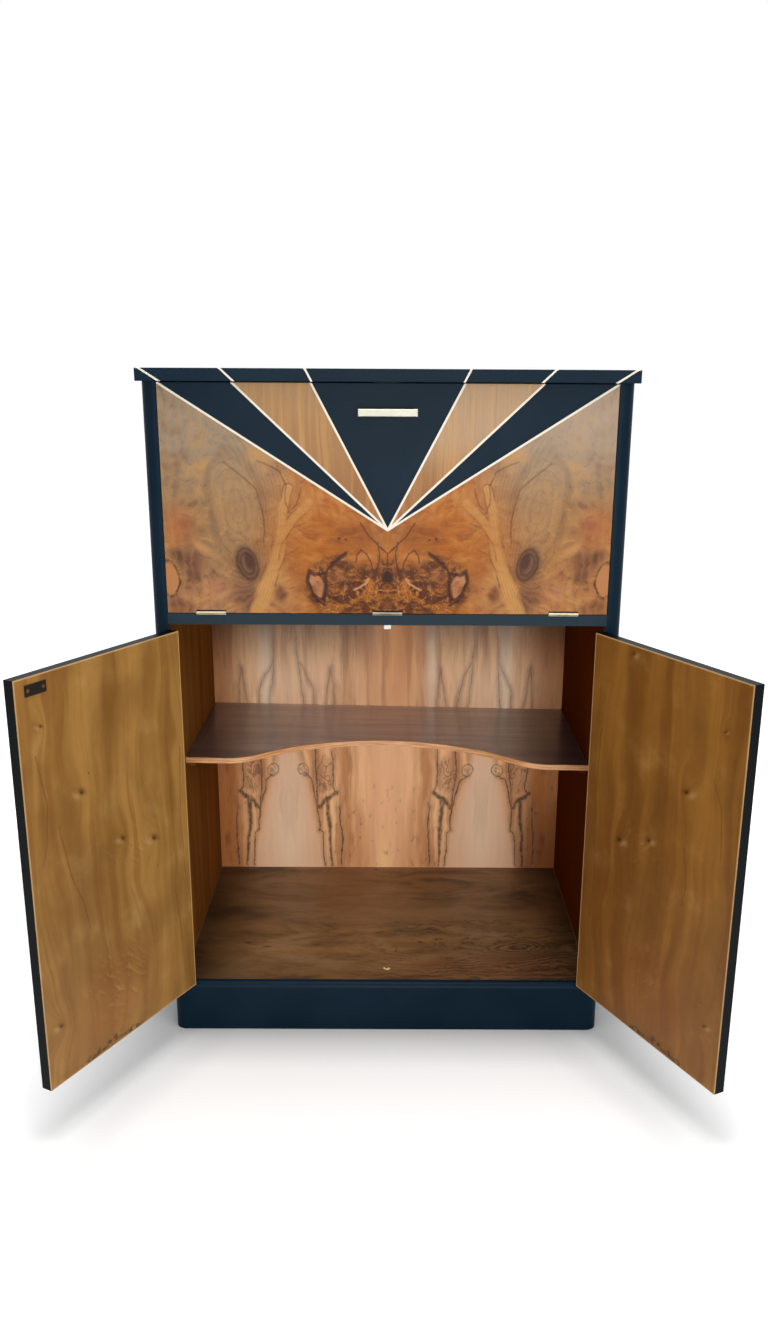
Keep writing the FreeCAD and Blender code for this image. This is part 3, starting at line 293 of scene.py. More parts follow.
class Face:
    """Two directions over a surface, in millimetres, and the patterns drawn along them."""

    def __init__(self, finish, across, along):
        self.finish = finish
        self.across = across
        self.along = along
        self.point = None

    def scaled(self, wide, tall, seed):
        return self.finish.node("CombineXYZ", self.across / wide, self.along / tall, seed)

    def noise(self, wide, tall, seed=0, detail=3, roughness=0.5, warp=0):
        """Cloudy 0-1 pattern whose patches are about wide by tall."""
        return self.finish.node("TexNoise", self.scaled(wide, tall, seed), Scale=1, Detail=detail,
                                Roughness=roughness, Distortion=warp)

    def dots(self, wide, tall, seed):
        """Distance to the nearest of some scattered dots."""
        return self.finish.node("TexVoronoi", self.scaled(wide, tall, seed), Scale=1, output="Distance")

    def spot(self, middle, half, turn=0):
        """Distance from an ellipse's middle, 1 on its edge."""
        a = self.across - middle[0]
        b = self.along - middle[1]
        cosine, sine = math.cos(math.radians(turn)), math.sin(math.radians(turn))
        u = (a * cosine + b * sine) / half[0]
        v = (b * cosine - a * sine) / half[1]
        return self.finish.math("SQRT", u * u + v * v)

    def bell(self, middle, half, turn=0):
        """A smooth hill, 1 at its middle and about 0 from twice its half width."""
        far = self.spot(middle, half, turn)
        return self.finish.math("EXPONENT", far * far * -1)

    def path(self, *lines):
        """Distance from the nearest of some bent lines, each a list of points."""
        node = self.finish.node
        if self.point is None:
            self.point = node("CombineXYZ", self.across, self.along, 0)
        nearest = None
        for points in lines:
            for (ax, ay), (bx, by) in zip(points, points[1:]):
                dx, dy = bx - ax, by - ay
                size = dx * dx + dy * dy
                along = node("VectorMath", self.point, (dx / size, dy / size, 0), operation="DOT_PRODUCT",
                             output=1)
                along = self.finish.math("SUBTRACT", along, (ax * dx + ay * dy) / size, clamp=True)
                foot = node("VectorMath", (dx, dy, 0), along, (ax, ay, 0), operation="MULTIPLY_ADD")
                gap = node("VectorMath", self.point, foot, operation="DISTANCE", output=1)
                nearest = gap if nearest is None else nearest.least(gap)
        return nearest


def dress(material, *nodes):
    """Gives CAD nodes a material."""
    for name in nodes:
        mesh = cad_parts[name].data
        mesh.materials.clear()
        mesh.materials.append(material)


def door_place(finish, side):
    """Distance from an open door's hinge edge, and depth into it: its outer face lies at 2 mm."""
    turn = DOOR_TURN[side]
    sign = -1 if side == "left" else 1
    x, y = finish.x - sign * HINGE_X, finish.y - HINGE_Y
    across = x * (-sign * math.cos(turn)) + y * (-sign * math.sin(turn)) - 0.5
    return across, x * -math.sin(turn) + y * math.cos(turn)


def navy_paint(settings, name, shade, side=None):
    """Satin paint with rubbed patches; a door's own paint is navy outside, with its edges painted near black
    as painted shade.
    """
    finish = Finish(name, shade, settings.sheen, 0.05)
    face = finish.face(finish.x, finish.z)
    broad = face.noise(140, 160, finish.y / 140, 2)
    fine = face.noise(3, 9, finish.y / 3, 4, 0.6)
    finish.lay(broad.step(0.35, 0.75) * 0.2, settings.worn)
    if side:
        # painted shade: the door's edges, deeper than its outer face, are painted near black
        finish.lay(door_place(finish, side)[1].step(2.4, 3.4), settings.edge)
    finish.shade(fine * 0.16 + 0.92)
    return finish.done(fine, PAINTED, fine * 0.12 + (settings.sheen - 0.06))


# ---- flap
def burr_veneer(settings):
    """Two mirrored halves: ovals, dark eyes, pale streaks and a burr cluster in the middle."""
    finish = Finish("burr_veneer", settings.heart, settings.gloss, 0.08)
    lay = finish.lay
    across, along = abs(finish.x), finish.z
    face = finish.face(across, along)
    side = finish.x.step(-60, 60)
    drift = face.noise(70, 90, 2, 3) - 0.5
    ripple = face.noise(14, 24, 5, 4, 0.6) - 0.5
    wander = face.noise(60, 70, 9, 3) - 0.5
    u = across + drift * 30 + ripple * 8
    v = along + wander * 30 + ripple * 8
    bent = finish.face(u, v)

    outward = across.step(90, 250)
    upward = along.step(930, 1090)
    patch = face.noise(54, 60, 12, 4, 0.55, 0.6)
    mottle = face.noise(30, 24, 15, 5, 0.6, 1.2)
    lay(outward, settings.tan)
    # upper outer corners greyer: partly wood tone, partly painted sheen
    lay(upward * outward * 0.8, settings.grey_and_sheen)
    low = along.step(900, 800) * across.step(120, 200)
    lay(low * 0.5, (0.7, 0.46, 0.34))
    lay(side * along.step(1010, 880) * across.step(100, 220) * 0.5, (0.74, 0.48, 0.26))
    lay(patch.step(0.48, 0.7) * 0.6, settings.pale)
    lay(patch.step(0.5, 0.26) * 0.4, settings.burr)
    calm = 1 - along.step(900, 1000) * outward * 0.55
    lay(mottle.step(0.5, 0.68) * calm * 0.4, (0.86, 0.63, 0.39))
    lay(mottle.step(0.48, 0.3) * calm * 0.5, settings.purple)

    for middle, half, turn, shade, depth in (
            ((338, 925), (30, 46), 10, (0.7, 0.42, 0.26), 0.7),
            ((322, 868), (30, 26), 0, (0.47, 0.28, 0.22), 0.75),
            ((345, 884), (22, 14), 30, (0.34, 0.2, 0.17), 0.7),
            ((318, 846), (16, 12), 0, (0.38, 0.23, 0.19), 0.6),
            ((230, 812), (24, 30), -12, (0.42, 0.27, 0.22), 0.7),
            ((178, 818), (13, 22), -25, (0.38, 0.22, 0.17), 0.75),
            ((232, 868), (30, 44), -14, (0.46, 0.32, 0.24), 0.65),
            ((345, 797), (34, 16), 0, (0.45, 0.26, 0.19), 0.6),
            ((283, 826), (26, 20), 0, (0.78, 0.54, 0.4), 0.5),
            ((300, 892), (24, 8), 40, (0.82, 0.6, 0.4), 0.5),
            ((150, 870), (16, 30), 0, (0.6, 0.3, 0.16), 0.45)):
        lay(bent.spot(middle, half, turn).step(1.35, 0.1) * depth, shade)

    oval = bent.spot((246, 962), (40, 80), -5)
    lay(oval.step(1.15, 0.65) * 0.42, (0.71, 0.55, 0.4))
    nest = (oval * 4.5 + ripple).saw().near(0.5, 0.17)
    lay(nest * oval.step(1.4, 1) * 0.17, (0.42, 0.31, 0.2))
    lay(oval.near(1.12, 0.2) * 0.22, (0.47, 0.34, 0.25))

    # growth lines as the contours of a hilly field
    knot = face.bell((229, 868), (26, 38), -14)
    swirl = face.bell((100, 850), (80, 60))
    field = u / 15 + oval.step(2.2, 0.6) * 5 + knot * 5 + swirl * 7 + mottle * 1.5
    crest = abs(field.saw() - 0.5) * 2
    strength = face.noise(34, 60, 21, 3).step(0.42, 0.68)
    lay(crest.step(0.14, 0) * strength * 0.36, settings.figure)
    lay(crest.step(0.3, 0.95) * 0.16, settings.pale)

    # pale streak that forks at its top, with thin dark edges
    flow = finish.face(across + drift * 14 + ripple * 6, along)
    streak = flow.path([(160, 992), (172, 950), (174, 915), (182, 872), (196, 835), (218, 782)])
    fork = flow.path([(128, 968), (152, 944), (172, 915)])
    wide = along.step(1000, 820) * 7 + 6
    within = (streak / wide).least(fork / 7)
    lay(within.step(1.4, 0.4) * 0.7, (0.84, 0.62, 0.38))
    lay(within.near(1.15, 0.3) * strength * 0.5, settings.figure)
    strands = (streak / 4 + ripple).saw().near(0.5, 0.16)
    lay(strands * within.step(1.1, 0.8) * 0.35, (0.56, 0.34, 0.16))
    thread = flow.path(
        [(208, 1034), (188, 1026), (172, 1018), (163, 996), (166, 968), (160, 953), (149, 966), (139, 992)],
        [(132, 936), (152, 928), (164, 915), (174, 898), (178, 876)],
        [(148, 893), (165, 884), (178, 858), (186, 832)],
        [(262, 1032), (246, 1020), (228, 1006), (212, 990), (204, 950), (203, 905)])
    lay(thread.step(2.4, 0.3) * (ripple * 1.4 + 0.42), settings.figure)

    # the dark eye: a soft shell round a dark heart
    eye = finish.face(across + ripple * 7, along + drift * 12).spot((229, 868), (16, 27), -16)
    lay(eye.step(1.5, 0.8) * 0.6, (0.4, 0.27, 0.22))
    lay(eye.step(0.95, 0.6) * 0.6, (0.55, 0.39, 0.29))
    ring = abs(eye - 0.98).least(abs(eye - 0.66))
    lay(ring.step(0.2, 0) * 0.5, (0.26, 0.16, 0.13))
    heart = finish.face(across + ripple * 3, along).spot((226, 873), (8, 16), -16)
    lay(heart.step(1.3, 0.5) * 0.7, (0.25, 0.15, 0.12))
    lens = bent.spot((359, 842), (16, 30), -8)
    lay(lens.step(1.05, 0.85), (0.76, 0.52, 0.34))
    lay(lens.near(1, 0.2, 0.02) * ripple.step(-0.1, 0.1) * 0.8, (0.3, 0.18, 0.13))

    burr_cluster(finish, settings, face)
    pores = finish.face(across + drift * 20, along).noise(1.3, 11, 31, 2).step(0.58, 0.72)
    finish.shade(1 - pores * (outward * 0.12 + 0.05))
    finish.lacquer(1.22, (0.75, 0.87, 0.94))
    # painted sheen: paler towards the flap's upper right
    painted_sheen = finish.x.step(60, 340) * along.step(960, 1120)
    lay(painted_sheen * 0.3, (0.72, 0.63, 0.56))
    return finish.done(crest * 0.3 + pores, LACQUERED)


def burr_cluster(finish, settings, face):
    """Knotty burr in the middle of the lower edge, with horned dark outlines."""
    across, along = face.across, face.along
    lay = finish.lay
    rough = face.noise(44, 34, 41, 5, 0.6, 1.4)
    fold = face.noise(60, 46, 44, 4, 0.55, 1.8)
    curl = face.noise(20, 17, 49, 5, 0.6, 1.8)
    loop = face.noise(30, 30, 47, 3) - 0.5

    cloud = finish.face(across + loop * 30, along).noise(40, 13, 61, 4, 0.6, 1)
    glow = face.bell((100, 905), (80, 52))
    lay(glow * 0.75, (0.72, 0.42, 0.11))
    lay(cloud.step(0.46, 0.66) * glow * 0.6, (0.56, 0.29, 0.1))
    lay(cloud.step(0.46, 0.3) * glow * 0.45, (0.84, 0.56, 0.28))
    lay(face.bell((40, 915), (46, 26)) * 0.4, (0.46, 0.24, 0.09))

    u = across + loop * 22
    v = along + (fold - 0.5) * 46
    folded = finish.face(u, v)
    reach = folded.spot((20, 812), (100, 60)).least(folded.spot((84, 832), (50, 48)))
    mask = reach.step(1.2, 0.8)
    body = finish.mix(rough.step(0.4, 0.6), (0.38, 0.18, 0.08), (0.72, 0.45, 0.2))
    amber = face.bell((16, 818), (44, 26))
    body = finish.mix(amber * rough.step(0.4, 0.6) * 0.6, body, (0.74, 0.46, 0.12))
    body = finish.mix(curl.step(0.54, 0.66) * 0.6, body, (0.84, 0.58, 0.34))
    body = finish.mix(curl.step(0.47, 0.38) * 0.75, body, (0.29, 0.12, 0.06))
    veins = abs((fold * 5).saw() - 0.5).least(abs((curl * 3).saw() - 0.5))
    body = finish.mix(veins.step(0.09, 0) * 0.75, body, (0.22, 0.09, 0.05))
    grit = face.noise(5, 4, 52, 3)
    body = finish.shaded(body, grit * 0.7 + 0.65)
    lay(mask * 0.88, body)
    smoke = sum(face.bell(middle, half) for middle, half in (
        ((38, 857), (15, 11)), ((72, 838), (13, 9)), ((4, 846), (9, 16))))
    lay(smoke * 0.58, (0.27, 0.12, 0.06))
    plum = face.bell((86, 858), (20, 20))
    lay(plum * rough.step(0.35, 0.65) * 0.7, (0.54, 0.34, 0.25))

    spot = finish.face(across + (rough - 0.5) * 12, along + (fold - 0.5) * 12)
    lens = finish.face(across + (rough - 0.5) * 8, along).spot((115, 834), (10, 21), -20)
    pith = finish.mix(fold.step(0.4, 0.6), (0.6, 0.37, 0.23), (0.76, 0.52, 0.36))
    lay(lens.step(1.15, 0.9), pith)
    horns = spot.path(
        [(128, 858), (118, 853), (103, 852), (97, 864), (82, 876), (67, 887)],
        [(128, 858), (131, 842), (124, 824), (113, 806), (104, 800)],
        [(103, 852), (102, 836), (103, 816), (106, 802)])
    swell = (face.noise(15, 15, 57, 4, 0.6) * 11 - 1.6).most(0.8)
    lay((horns / swell).step(1.3, 0.2) * 0.8, (0.27, 0.14, 0.09))
    sickle = spot.path([(54, 825), (44, 829), (37, 835), (32, 843)])
    lay(sickle.step(2.8, 1) * 0.7, (0.84, 0.62, 0.45))

    close = finish.face(across + (rough - 0.5) * 5, along + (fold - 0.5) * 5)
    wisps = close.path(
        [(44, 936), (30, 914), (14, 899), (0, 886), (0, 852)],
        [(52, 872), (50, 884), (43, 892), (34, 886), (27, 871), (24, 856), (17, 850)],
        [(16, 904), (12, 884), (16, 862)])
    lay(wisps.step(1.9, 0.4) * 0.7, settings.figure)
    core = finish.face(across, v).spot((0, 846), (12, 9))
    lay(core.step(1.3, 0.5) * 0.75, (0.2, 0.1, 0.06))
    dots = face.spot((79, 911), (3, 2.4)).least(face.spot((68, 909), (2.4, 2)))
    lay(dots.step(1.1, 0.7) * 0.8, settings.figure)


def wedge_veneer(settings):
    """Straight upright grain, browner at the apex, and paler at the top and top right as a painted sheen."""
    finish = Finish("straight_veneer", settings.wedge, settings.gloss, 0.14)
    lay = finish.lay
    face = finish.face(finish.x, finish.z)
    bend = face.noise(60, 220, 3, 2) - 0.5
    grain = finish.face(finish.x + bend * 18, finish.z)
    band = grain.noise(11, 380, 6, 3)
    line = grain.noise(2.6, 150, 8, 3, 0.6)
    pores = face.noise(1.1, 14, 11, 2).step(0.6, 0.74)
    low = finish.z.step(1080, 930)
    right = finish.x.step(-40, 60)
    lay(low, (0.63, 0.4, 0.2))
    # painted sheen: paler at the top right and along the top
    lay(right * finish.z.step(1000, 1080) * 0.55, (0.76, 0.64, 0.56))
    lay(finish.z.step(1060, 1150) * 0.35, (0.74, 0.6, 0.46))
    lay(band.step(0.42, 0.7) * 0.4, (0.86, 0.63, 0.38))
    lay(line.step(0.52, 0.76) * 0.26, settings.burr)
    finish.shade(1 - pores * 0.14)
    finish.lacquer(1.18, (0.77, 0.87, 0.84))
    return finish.done(line + pores, LACQUERED)


def inlay_wood(settings):
    """Light lines with a faint fibre."""
    finish = Finish("light_inlay", settings.inlay, 0.4)
    fibre = finish.face(finish.x + finish.y, finish.z).noise(4, 4, 2, 3)
    finish.shade(fibre * 0.2 + 0.9)
    return finish.done(fibre, LACQUERED)


# ---- doors
# knots' places and sizes, and fine dark lines, from the hinge edge and the floor
DOOR_KNOTS = {
    "left": ((250, 555, 11), (167, 449, 9), (92, 421, 11), (321, 681, 6), (333, 197, 8)),
    "right": ((248, 560, 11), (97, 424, 12), (170, 451, 9), (102, 744, 8), (316, 676, 4), (330, 201, 7)),
}
DOOR_THREADS = {
    "left": [[(300, 520), (285, 436), (262, 376), (252, 330)], [(35, 380), (42, 300), (30, 200)],
             [(12, 560), (20, 440), (14, 330)], [(335, 640), (320, 560), (326, 505), (338, 470)]],
    "right": [[(250, 470), (262, 410), (256, 374)], [(300, 600), (322, 560), (330, 480)],
              [(30, 600), (24, 480), (34, 330), (26, 250)]],
}


def door_veneer(settings, side):
    """Golden veneer with small knots, fine dark threads and rippled grain near its foot."""
    left = side == "left"
    seed = 3 if left else 19
    light, dark = (settings.light, settings.dark) if left else (settings.shaded_light_right, settings.shaded_dark_right)
    finish = Finish("door_veneer_" + side, dark, 0.42, 0.18)
    lay = finish.lay
    across, along = door_place(finish, side)[0], finish.z
    face = finish.face(across, along)
    sway = face.noise(120, 330, seed, 2) - 0.5
    shiver = face.noise(14, 60, seed + 2, 3, 0.6) - 0.5
    rise = sum(face.bell((s, z), (size * 2.4, size * 4.6)) for s, z, size in DOOR_KNOTS[side])
    fan = face.bell((205, 190), (95, 130))
    u = across + sway * 90 + shiver * 4 + rise * 22 + fan * 30
    grain = finish.face(u, along)
    broad = grain.noise(52, 800, seed + 5, 3)
    medium = grain.noise(9, 380, seed + 7, 3, 0.6)
    fine = grain.noise(1.8, 80, seed + 9, 3, 0.6)
    cloud = face.noise(60, 70, seed + 15, 4, 0.55)
    lay(broad.step(0.36, 0.64) * 0.66 + medium.step(0.34, 0.7) * 0.12 + fine * 0.22
        + (cloud - 0.5) * 0.7, light)
    lay(cloud.step(0.54, 0.8) * 0.2, settings.border)
    crest = abs((u / 21).saw() - 0.5) * 2
    where = face.noise(40, 160, seed + 11, 2).step(0.45, 0.66)
    lay(crest.step(0.1, 0) * where * 0.22, settings.knot)
    gloom = face.noise(110, 160, seed + 17, 3)
    lay(gloom.step(0.54, 0.34) * 0.4, (0.5, 0.34, 0.18))
    russet = grain.noise(24, 560, seed + 21, 3).step(0.52, 0.66)
    lay(russet * 0.4, (0.5, 0.31, 0.14))

    # cross ripples in the lower part and beside the knots: painted highlights with painted shadows just
    # beside them
    slant = across * 0.72 + along * 0.69 + shiver * 30
    upright = along * 0.72 - across * 0.69
    ripple_highlight = finish.face(slant, upright).noise(24, 9, seed + 13, 2)
    ripple_shadow = finish.face(slant, upright + 4).noise(24, 9, seed + 13, 2)
    near = face.bell((188, 205), (56, 62)) * (1 if left else 0.3) + face.bell((130, 430), (70, 30)) * 0.5
    lay(ripple_shadow.step(0.5, 0.7) * near * 0.36, settings.knot)
    lay(ripple_highlight.step(0.52, 0.72) * near * 0.34, settings.border)
    lay(face.bell((215, 165), (110, 80)) * 0.3, (0.66, 0.4, 0.18))
    if not left:
        arch = face.spot((190, 150), (78, 92)).near(1, 0.3)
        lay(arch * along.step(150, 200) * 0.35, (0.54, 0.3, 0.12))
    here = finish.face(across + shiver * 6, along)
    thread = here.path(*DOOR_THREADS[side])
    lay(thread.step(1.8, 0.3) * 0.5, settings.knot)
    foot = here.path([(150, 100), (205, 112), (262, 108), (300, 98)])
    lay(foot.step(9, 2) * face.noise(12, 12, 71).step(0.4, 0.6) * 0.75, (0.22, 0.12, 0.07))

    place = finish.face(across + shiver * 10, along + shiver * 8)
    # each knot gets a painted highlight on one side and a painted shadow on the other, round a dark core
    for s, z, size in DOOR_KNOTS[side]:
        knot_highlight = place.bell((s + size * 0.9, z - size * 0.1), (size * 0.9, size * 0.5), 30)
        lay(knot_highlight * 0.32, settings.border)
        shade = place.bell((s - size * 0.3, z + size * 0.2), (size * 0.9, size * 0.45), 30)
        lay(shade * 0.75, settings.knot)
        core = place.bell((s - size * 0.2, z), (size * 0.34, size * 0.24), 30)
        lay(core * 0.9, (0.26, 0.14, 0.07))
    lay(face.dots(70, 90, seed).step(0.022, 0.014) * 0.7, (0.25, 0.14, 0.08))

    # the right door's darker tint is painted shade, as its face turns away from the key light
    finish.lacquer(1.06, (0.76, 0.78, 0.74) if left else (0.69, 0.7, 0.6))
    rim = across.least(DOOR_LENGTH - across).least(along - DOOR_LOW).least(DOOR_HIGH - along)
    lay(rim.step(2.4, 1.4) * 0.42, settings.border)
    return finish.done(fine + medium, OPEN_PORED)


# ---- inside
def back_veneer(settings):
    """Four mirrored leaves of pale veneer with dark lines and eyes; the rear face is bare."""
    finish = Finish("back_veneer", (0.84, 0.61, 0.42), 0.36, 0.2)
    lay = finish.lay
    side = finish.x.step(-0.5, 0.5)
    out = abs(finish.x) + side * 13 - BACK_LEAF
    leaf, along = abs(out), finish.z
    face, whole = finish.face(leaf, along), finish.face(finish.x, along)
    inner = out.step(0.5, -0.5)
    seed = inner * 4 + side * 7
    drift = face.noise(40, 90, seed + 2, 3) - 0.5
    jitter = face.noise(8, 16, seed + 5, 4, 0.65) - 0.5
    u = leaf + drift * 16 + jitter * 7
    v = along + drift * 16

    # broad soft grain, warmer in the middle and browner at the ends
    soft = finish.face(leaf + drift * 30, along).noise(36, 360, 8, 2)
    streak = finish.face(leaf + drift * 16, along).noise(10, 240, 13, 3, 0.55)
    fine = face.noise(2, 70, 11, 3, 0.6)
    lay(soft.step(0.36, 0.64), settings.back)
    lay(streak.step(0.5, 0.74) * 0.38, (0.6, 0.38, 0.24))
    lay(streak.step(0.46, 0.3) * 0.4, (1, 0.86, 0.68))
    finish.shade(fine * 0.2 + 0.9)
    middle = finish.face(finish.x + drift * 14, along).spot((-2, 330), (90, 560))
    lay(middle.step(1.05, 0.1) * 0.85, settings.glow)
    lay(whole.spot((-9, 90), (20, 130)).step(1, 0.2) * 0.85, (1, 0.84, 0.6))
    lay(abs(finish.x + 14).step(270, 350) * 0.8, (0.72, 0.46, 0.24))
    dim = finish.x.step(210, 350) * along.step(330, 110)
    lay(dim * 0.7, (0.52, 0.32, 0.19))
    brown = whole.noise(17, 260, 23, 3, 0.55).step(0.5, 0.66) * along.step(440, 470)
    lay(brown * 0.5, (0.66, 0.42, 0.26))
    smoke = face.noise(20, 100, 17, 4, 0.6).step(0.5, 0.74) * middle.step(0.5, 1.3)
    lay(smoke * leaf.step(60, 100) * 0.6, (0.42, 0.27, 0.19))

    limit = along * -0.22 + 108
    arch = (limit - u).step(-8, 16) * along.step(400, 360)
    lay(arch * 0.8, settings.ash)
    veil = face.bell((0, 190), (36, 150))
    lay(veil * arch * 0.6, (1, 0.91, 0.79))
    lay(soft.step(0.48, 0.7) * arch * 0.35, (0.74, 0.56, 0.42))
    # painted light: paler pools just above the shelf, and narrow upright painted highlights
    high = along.step(440, 470)
    painted_light_above_shelf = whole.bell((-205, 520), (130, 110)) + whole.bell((215, 510), (130, 90))
    lay(high * painted_light_above_shelf * 0.6, (1, 0.88, 0.76))
    painted_highlights = sum(whole.bell((x, 560), (half, 200)) for x, half in ((-262, 16), (92, 12), (250, 14)))
    lay(high * painted_highlights * 0.6, (1, 0.93, 0.84))
    amber = whole.bell((20, 640), (52, 170))
    lay(high * amber * 0.55, (0.88, 0.6, 0.35))
    # painted shade at the top of the back, under the divider, lighter over the amber middle
    finish.shade(1 - along.step(530, 690) * (1 - amber * 0.6) * 0.74)

    finish.lacquer(1.15, (1, 1, 1))

    spot = finish.face(u, v)
    thin = spot.path(
        [(22, 660), (26, 590), (30, 530), (36, 470)],
        [(28, 575), (44, 545), (56, 510), (60, 470)],
        [(96, 562), (90, 520), (84, 470)], [(96, 562), (101, 520), (102, 470)],
        [(36, 318), (49, 306), (58, 272), (64, 242), (68, 205), (67, 186), (76, 180), (77, 140), (80, 100)],
        [(60, 376), (58, 330), (62, 285), (66, 244)],
        [(98, 376), (100, 330), (97, 290), (106, 276)],
        [(112, 240), (118, 190), (116, 104)])
    weight = face.noise(9, 22, seed + 21, 4, 0.6) * 5 - 1
    ink = (thin / (weight * (1 - high * 0.4)).most(0.3)).step(1.3, 0.2)
    ragged = face.noise(6, 17, seed + 37, 4, 0.65).step(0.36, 0.52) * 0.7 + 0.3
    blob = spot.path([(107, 277), (94, 266), (82, 260), (69, 240)])
    ink = ink.most((blob + jitter * 14).step(6.5, 1.5) * ragged)
    stem = spot.path([(86, 262), (88, 215), (96, 100)])
    ink = ink.most((stem / (along * 0.024 + jitter * 7).most(0.4)).step(1.3, 0.3) * ragged)
    eye = finish.face(leaf + jitter * 9, along + jitter * 9).spot((33, 329), (12, 15), 20)
    ink = ink.most(eye.near(0.95, 0.22) * (jitter * 1.6 + 0.7))
    inside = face.noise(7, 9, seed + 31, 3)
    lay(eye.step(1, 0.4) * inside.step(0.42, 0.6) * 0.55, (0.5, 0.37, 0.3))
    nest = face.noise(22, 30, seed + 29, 1.5, 0.5, 1)
    cluster = finish.face(leaf + drift * 10, along).spot((78, 320), (21, 44)).step(1.2, 0.75)
    loops = (nest * 3).saw().near(0.5, 0.16, 0.02)
    lay(cluster * 0.45, (0.72, 0.5, 0.35))
    ink = ink.most(loops * cluster * (inside * 1.2))
    haze = (thin.least(stem).least(blob) / 11).step(1, 0)
    lay(haze * 0.4, (0.56, 0.4, 0.31))
    blotch = face.noise(14, 30, seed + 35, 3).step(0.6, 0.74) * leaf.step(84, 100)
    lay(blotch * along.step(330, 250) * 0.5, (0.3, 0.2, 0.16))
    lay(ink * (along.step(430, 380) * 0.35 + 0.4), settings.ink)

    bare = whole.noise(7, 400, 60, 3)
    bare = finish.mix(bare.step(0.35, 0.7), (0.56, 0.42, 0.27), (0.7, 0.55, 0.38))
    lay(finish.y.step(BACK_REAR, BACK_REAR + 0.6), bare)
    return finish.done(fine, LACQUERED)


def walnut(name, base, gloss, specular, coat=0, upright=False):
    """Dark walnut whose grain runs left to right, or upwards; returns it, its pores and its relief."""
    finish = Finish(name, [part * 0.66 for part in base], gloss, specular, Coat_Weight=coat,
                    Coat_Roughness=0.16)
    if upright:
        across, along = finish.y + finish.x * 0.5, finish.z
    else:
        across, along = finish.y, finish.x
    sway = finish.face(across, along).noise(70, 260, 2, 3) - 0.5
    grain = finish.face(across + sway * 46, along)
    broad = grain.noise(30, 420, 4, 3)
    line = grain.noise(5, 170, 6, 4, 0.62)
    pores = grain.noise(1.4, 18, 8, 2).step(0.58, 0.72)
    light = [min(1, part * 1.26) for part in base]
    finish.lay(broad.step(0.34, 0.66) * 0.75 + line.step(0.3, 0.75) * 0.22, light)
    return finish, pores, line + pores


def lining_walnut(settings):
    """Reddish linings with a lighter upright streak at the left; the right lining is painted darker as
    painted shade, and both are painted lighter above the shelf as painted light.
    """
    finish, pores, relief = walnut("lining_walnut", settings.walnut, 0.55, 0, upright=True)
    finish.lay(0.7, settings.walnut)
    streak = finish.face(finish.y, finish.z).bell((150, 420), (26, 900)) * finish.x.step(10, -10)
    finish.lay(streak * 0.5, (0.52, 0.31, 0.12))
    # painted shade: the right lining, facing away from the key light, is painted darker
    finish.lay(finish.x.step(-10, 10) * 0.92, settings.painted_shade_walnut)
    # painted light: the linings are lighter above the shelf than below it
    upper = finish.z.step(SHELF_LINE, SHELF_LINE + 90)
    finish.shade(upper * 0.28 + 1 - pores * 0.18)
    return finish.done(relief, OPEN_PORED)


def board_walnut(settings):
    """Plain boards of the bar and the flap's inner face."""
    finish, pores, relief = walnut("board_walnut", settings.board, 0.4, 0.04)
    finish.shade(1 - pores * 0.18)
    return finish.done(relief, OPEN_PORED)


def shelf_walnut(settings):
    """Glossy shelf top, paler in its middle and dark towards its ends as painted shade, with front-to-back
    streaks of painted reflection.
    """
    finish, pores, relief = walnut("shelf_walnut", settings.shelf, 0.3, 0.59, 0.55)
    finish.lay(0.5, settings.shelf)
    # painted shade: darker towards the ends and the outer front, next to the linings
    ends = abs(finish.x + 10).step(150, 350)
    front = finish.y.step(-20, -190) * abs(finish.x).step(120, 300)
    finish.lay((ends * 0.8).most(front * 0.95), [part * 0.16 for part in settings.shelf])
    # painted reflection: darker streaks running front to back, across the grain
    haze = finish.face(finish.x, finish.y).noise(26, 420, 12, 3)
    finish.lay(haze.step(0.46, 0.72) * 0.35, (0.6, 0.46, 0.36))
    finish.shade(1 - pores * 0.15)
    return finish.done(relief, SMOOTH)


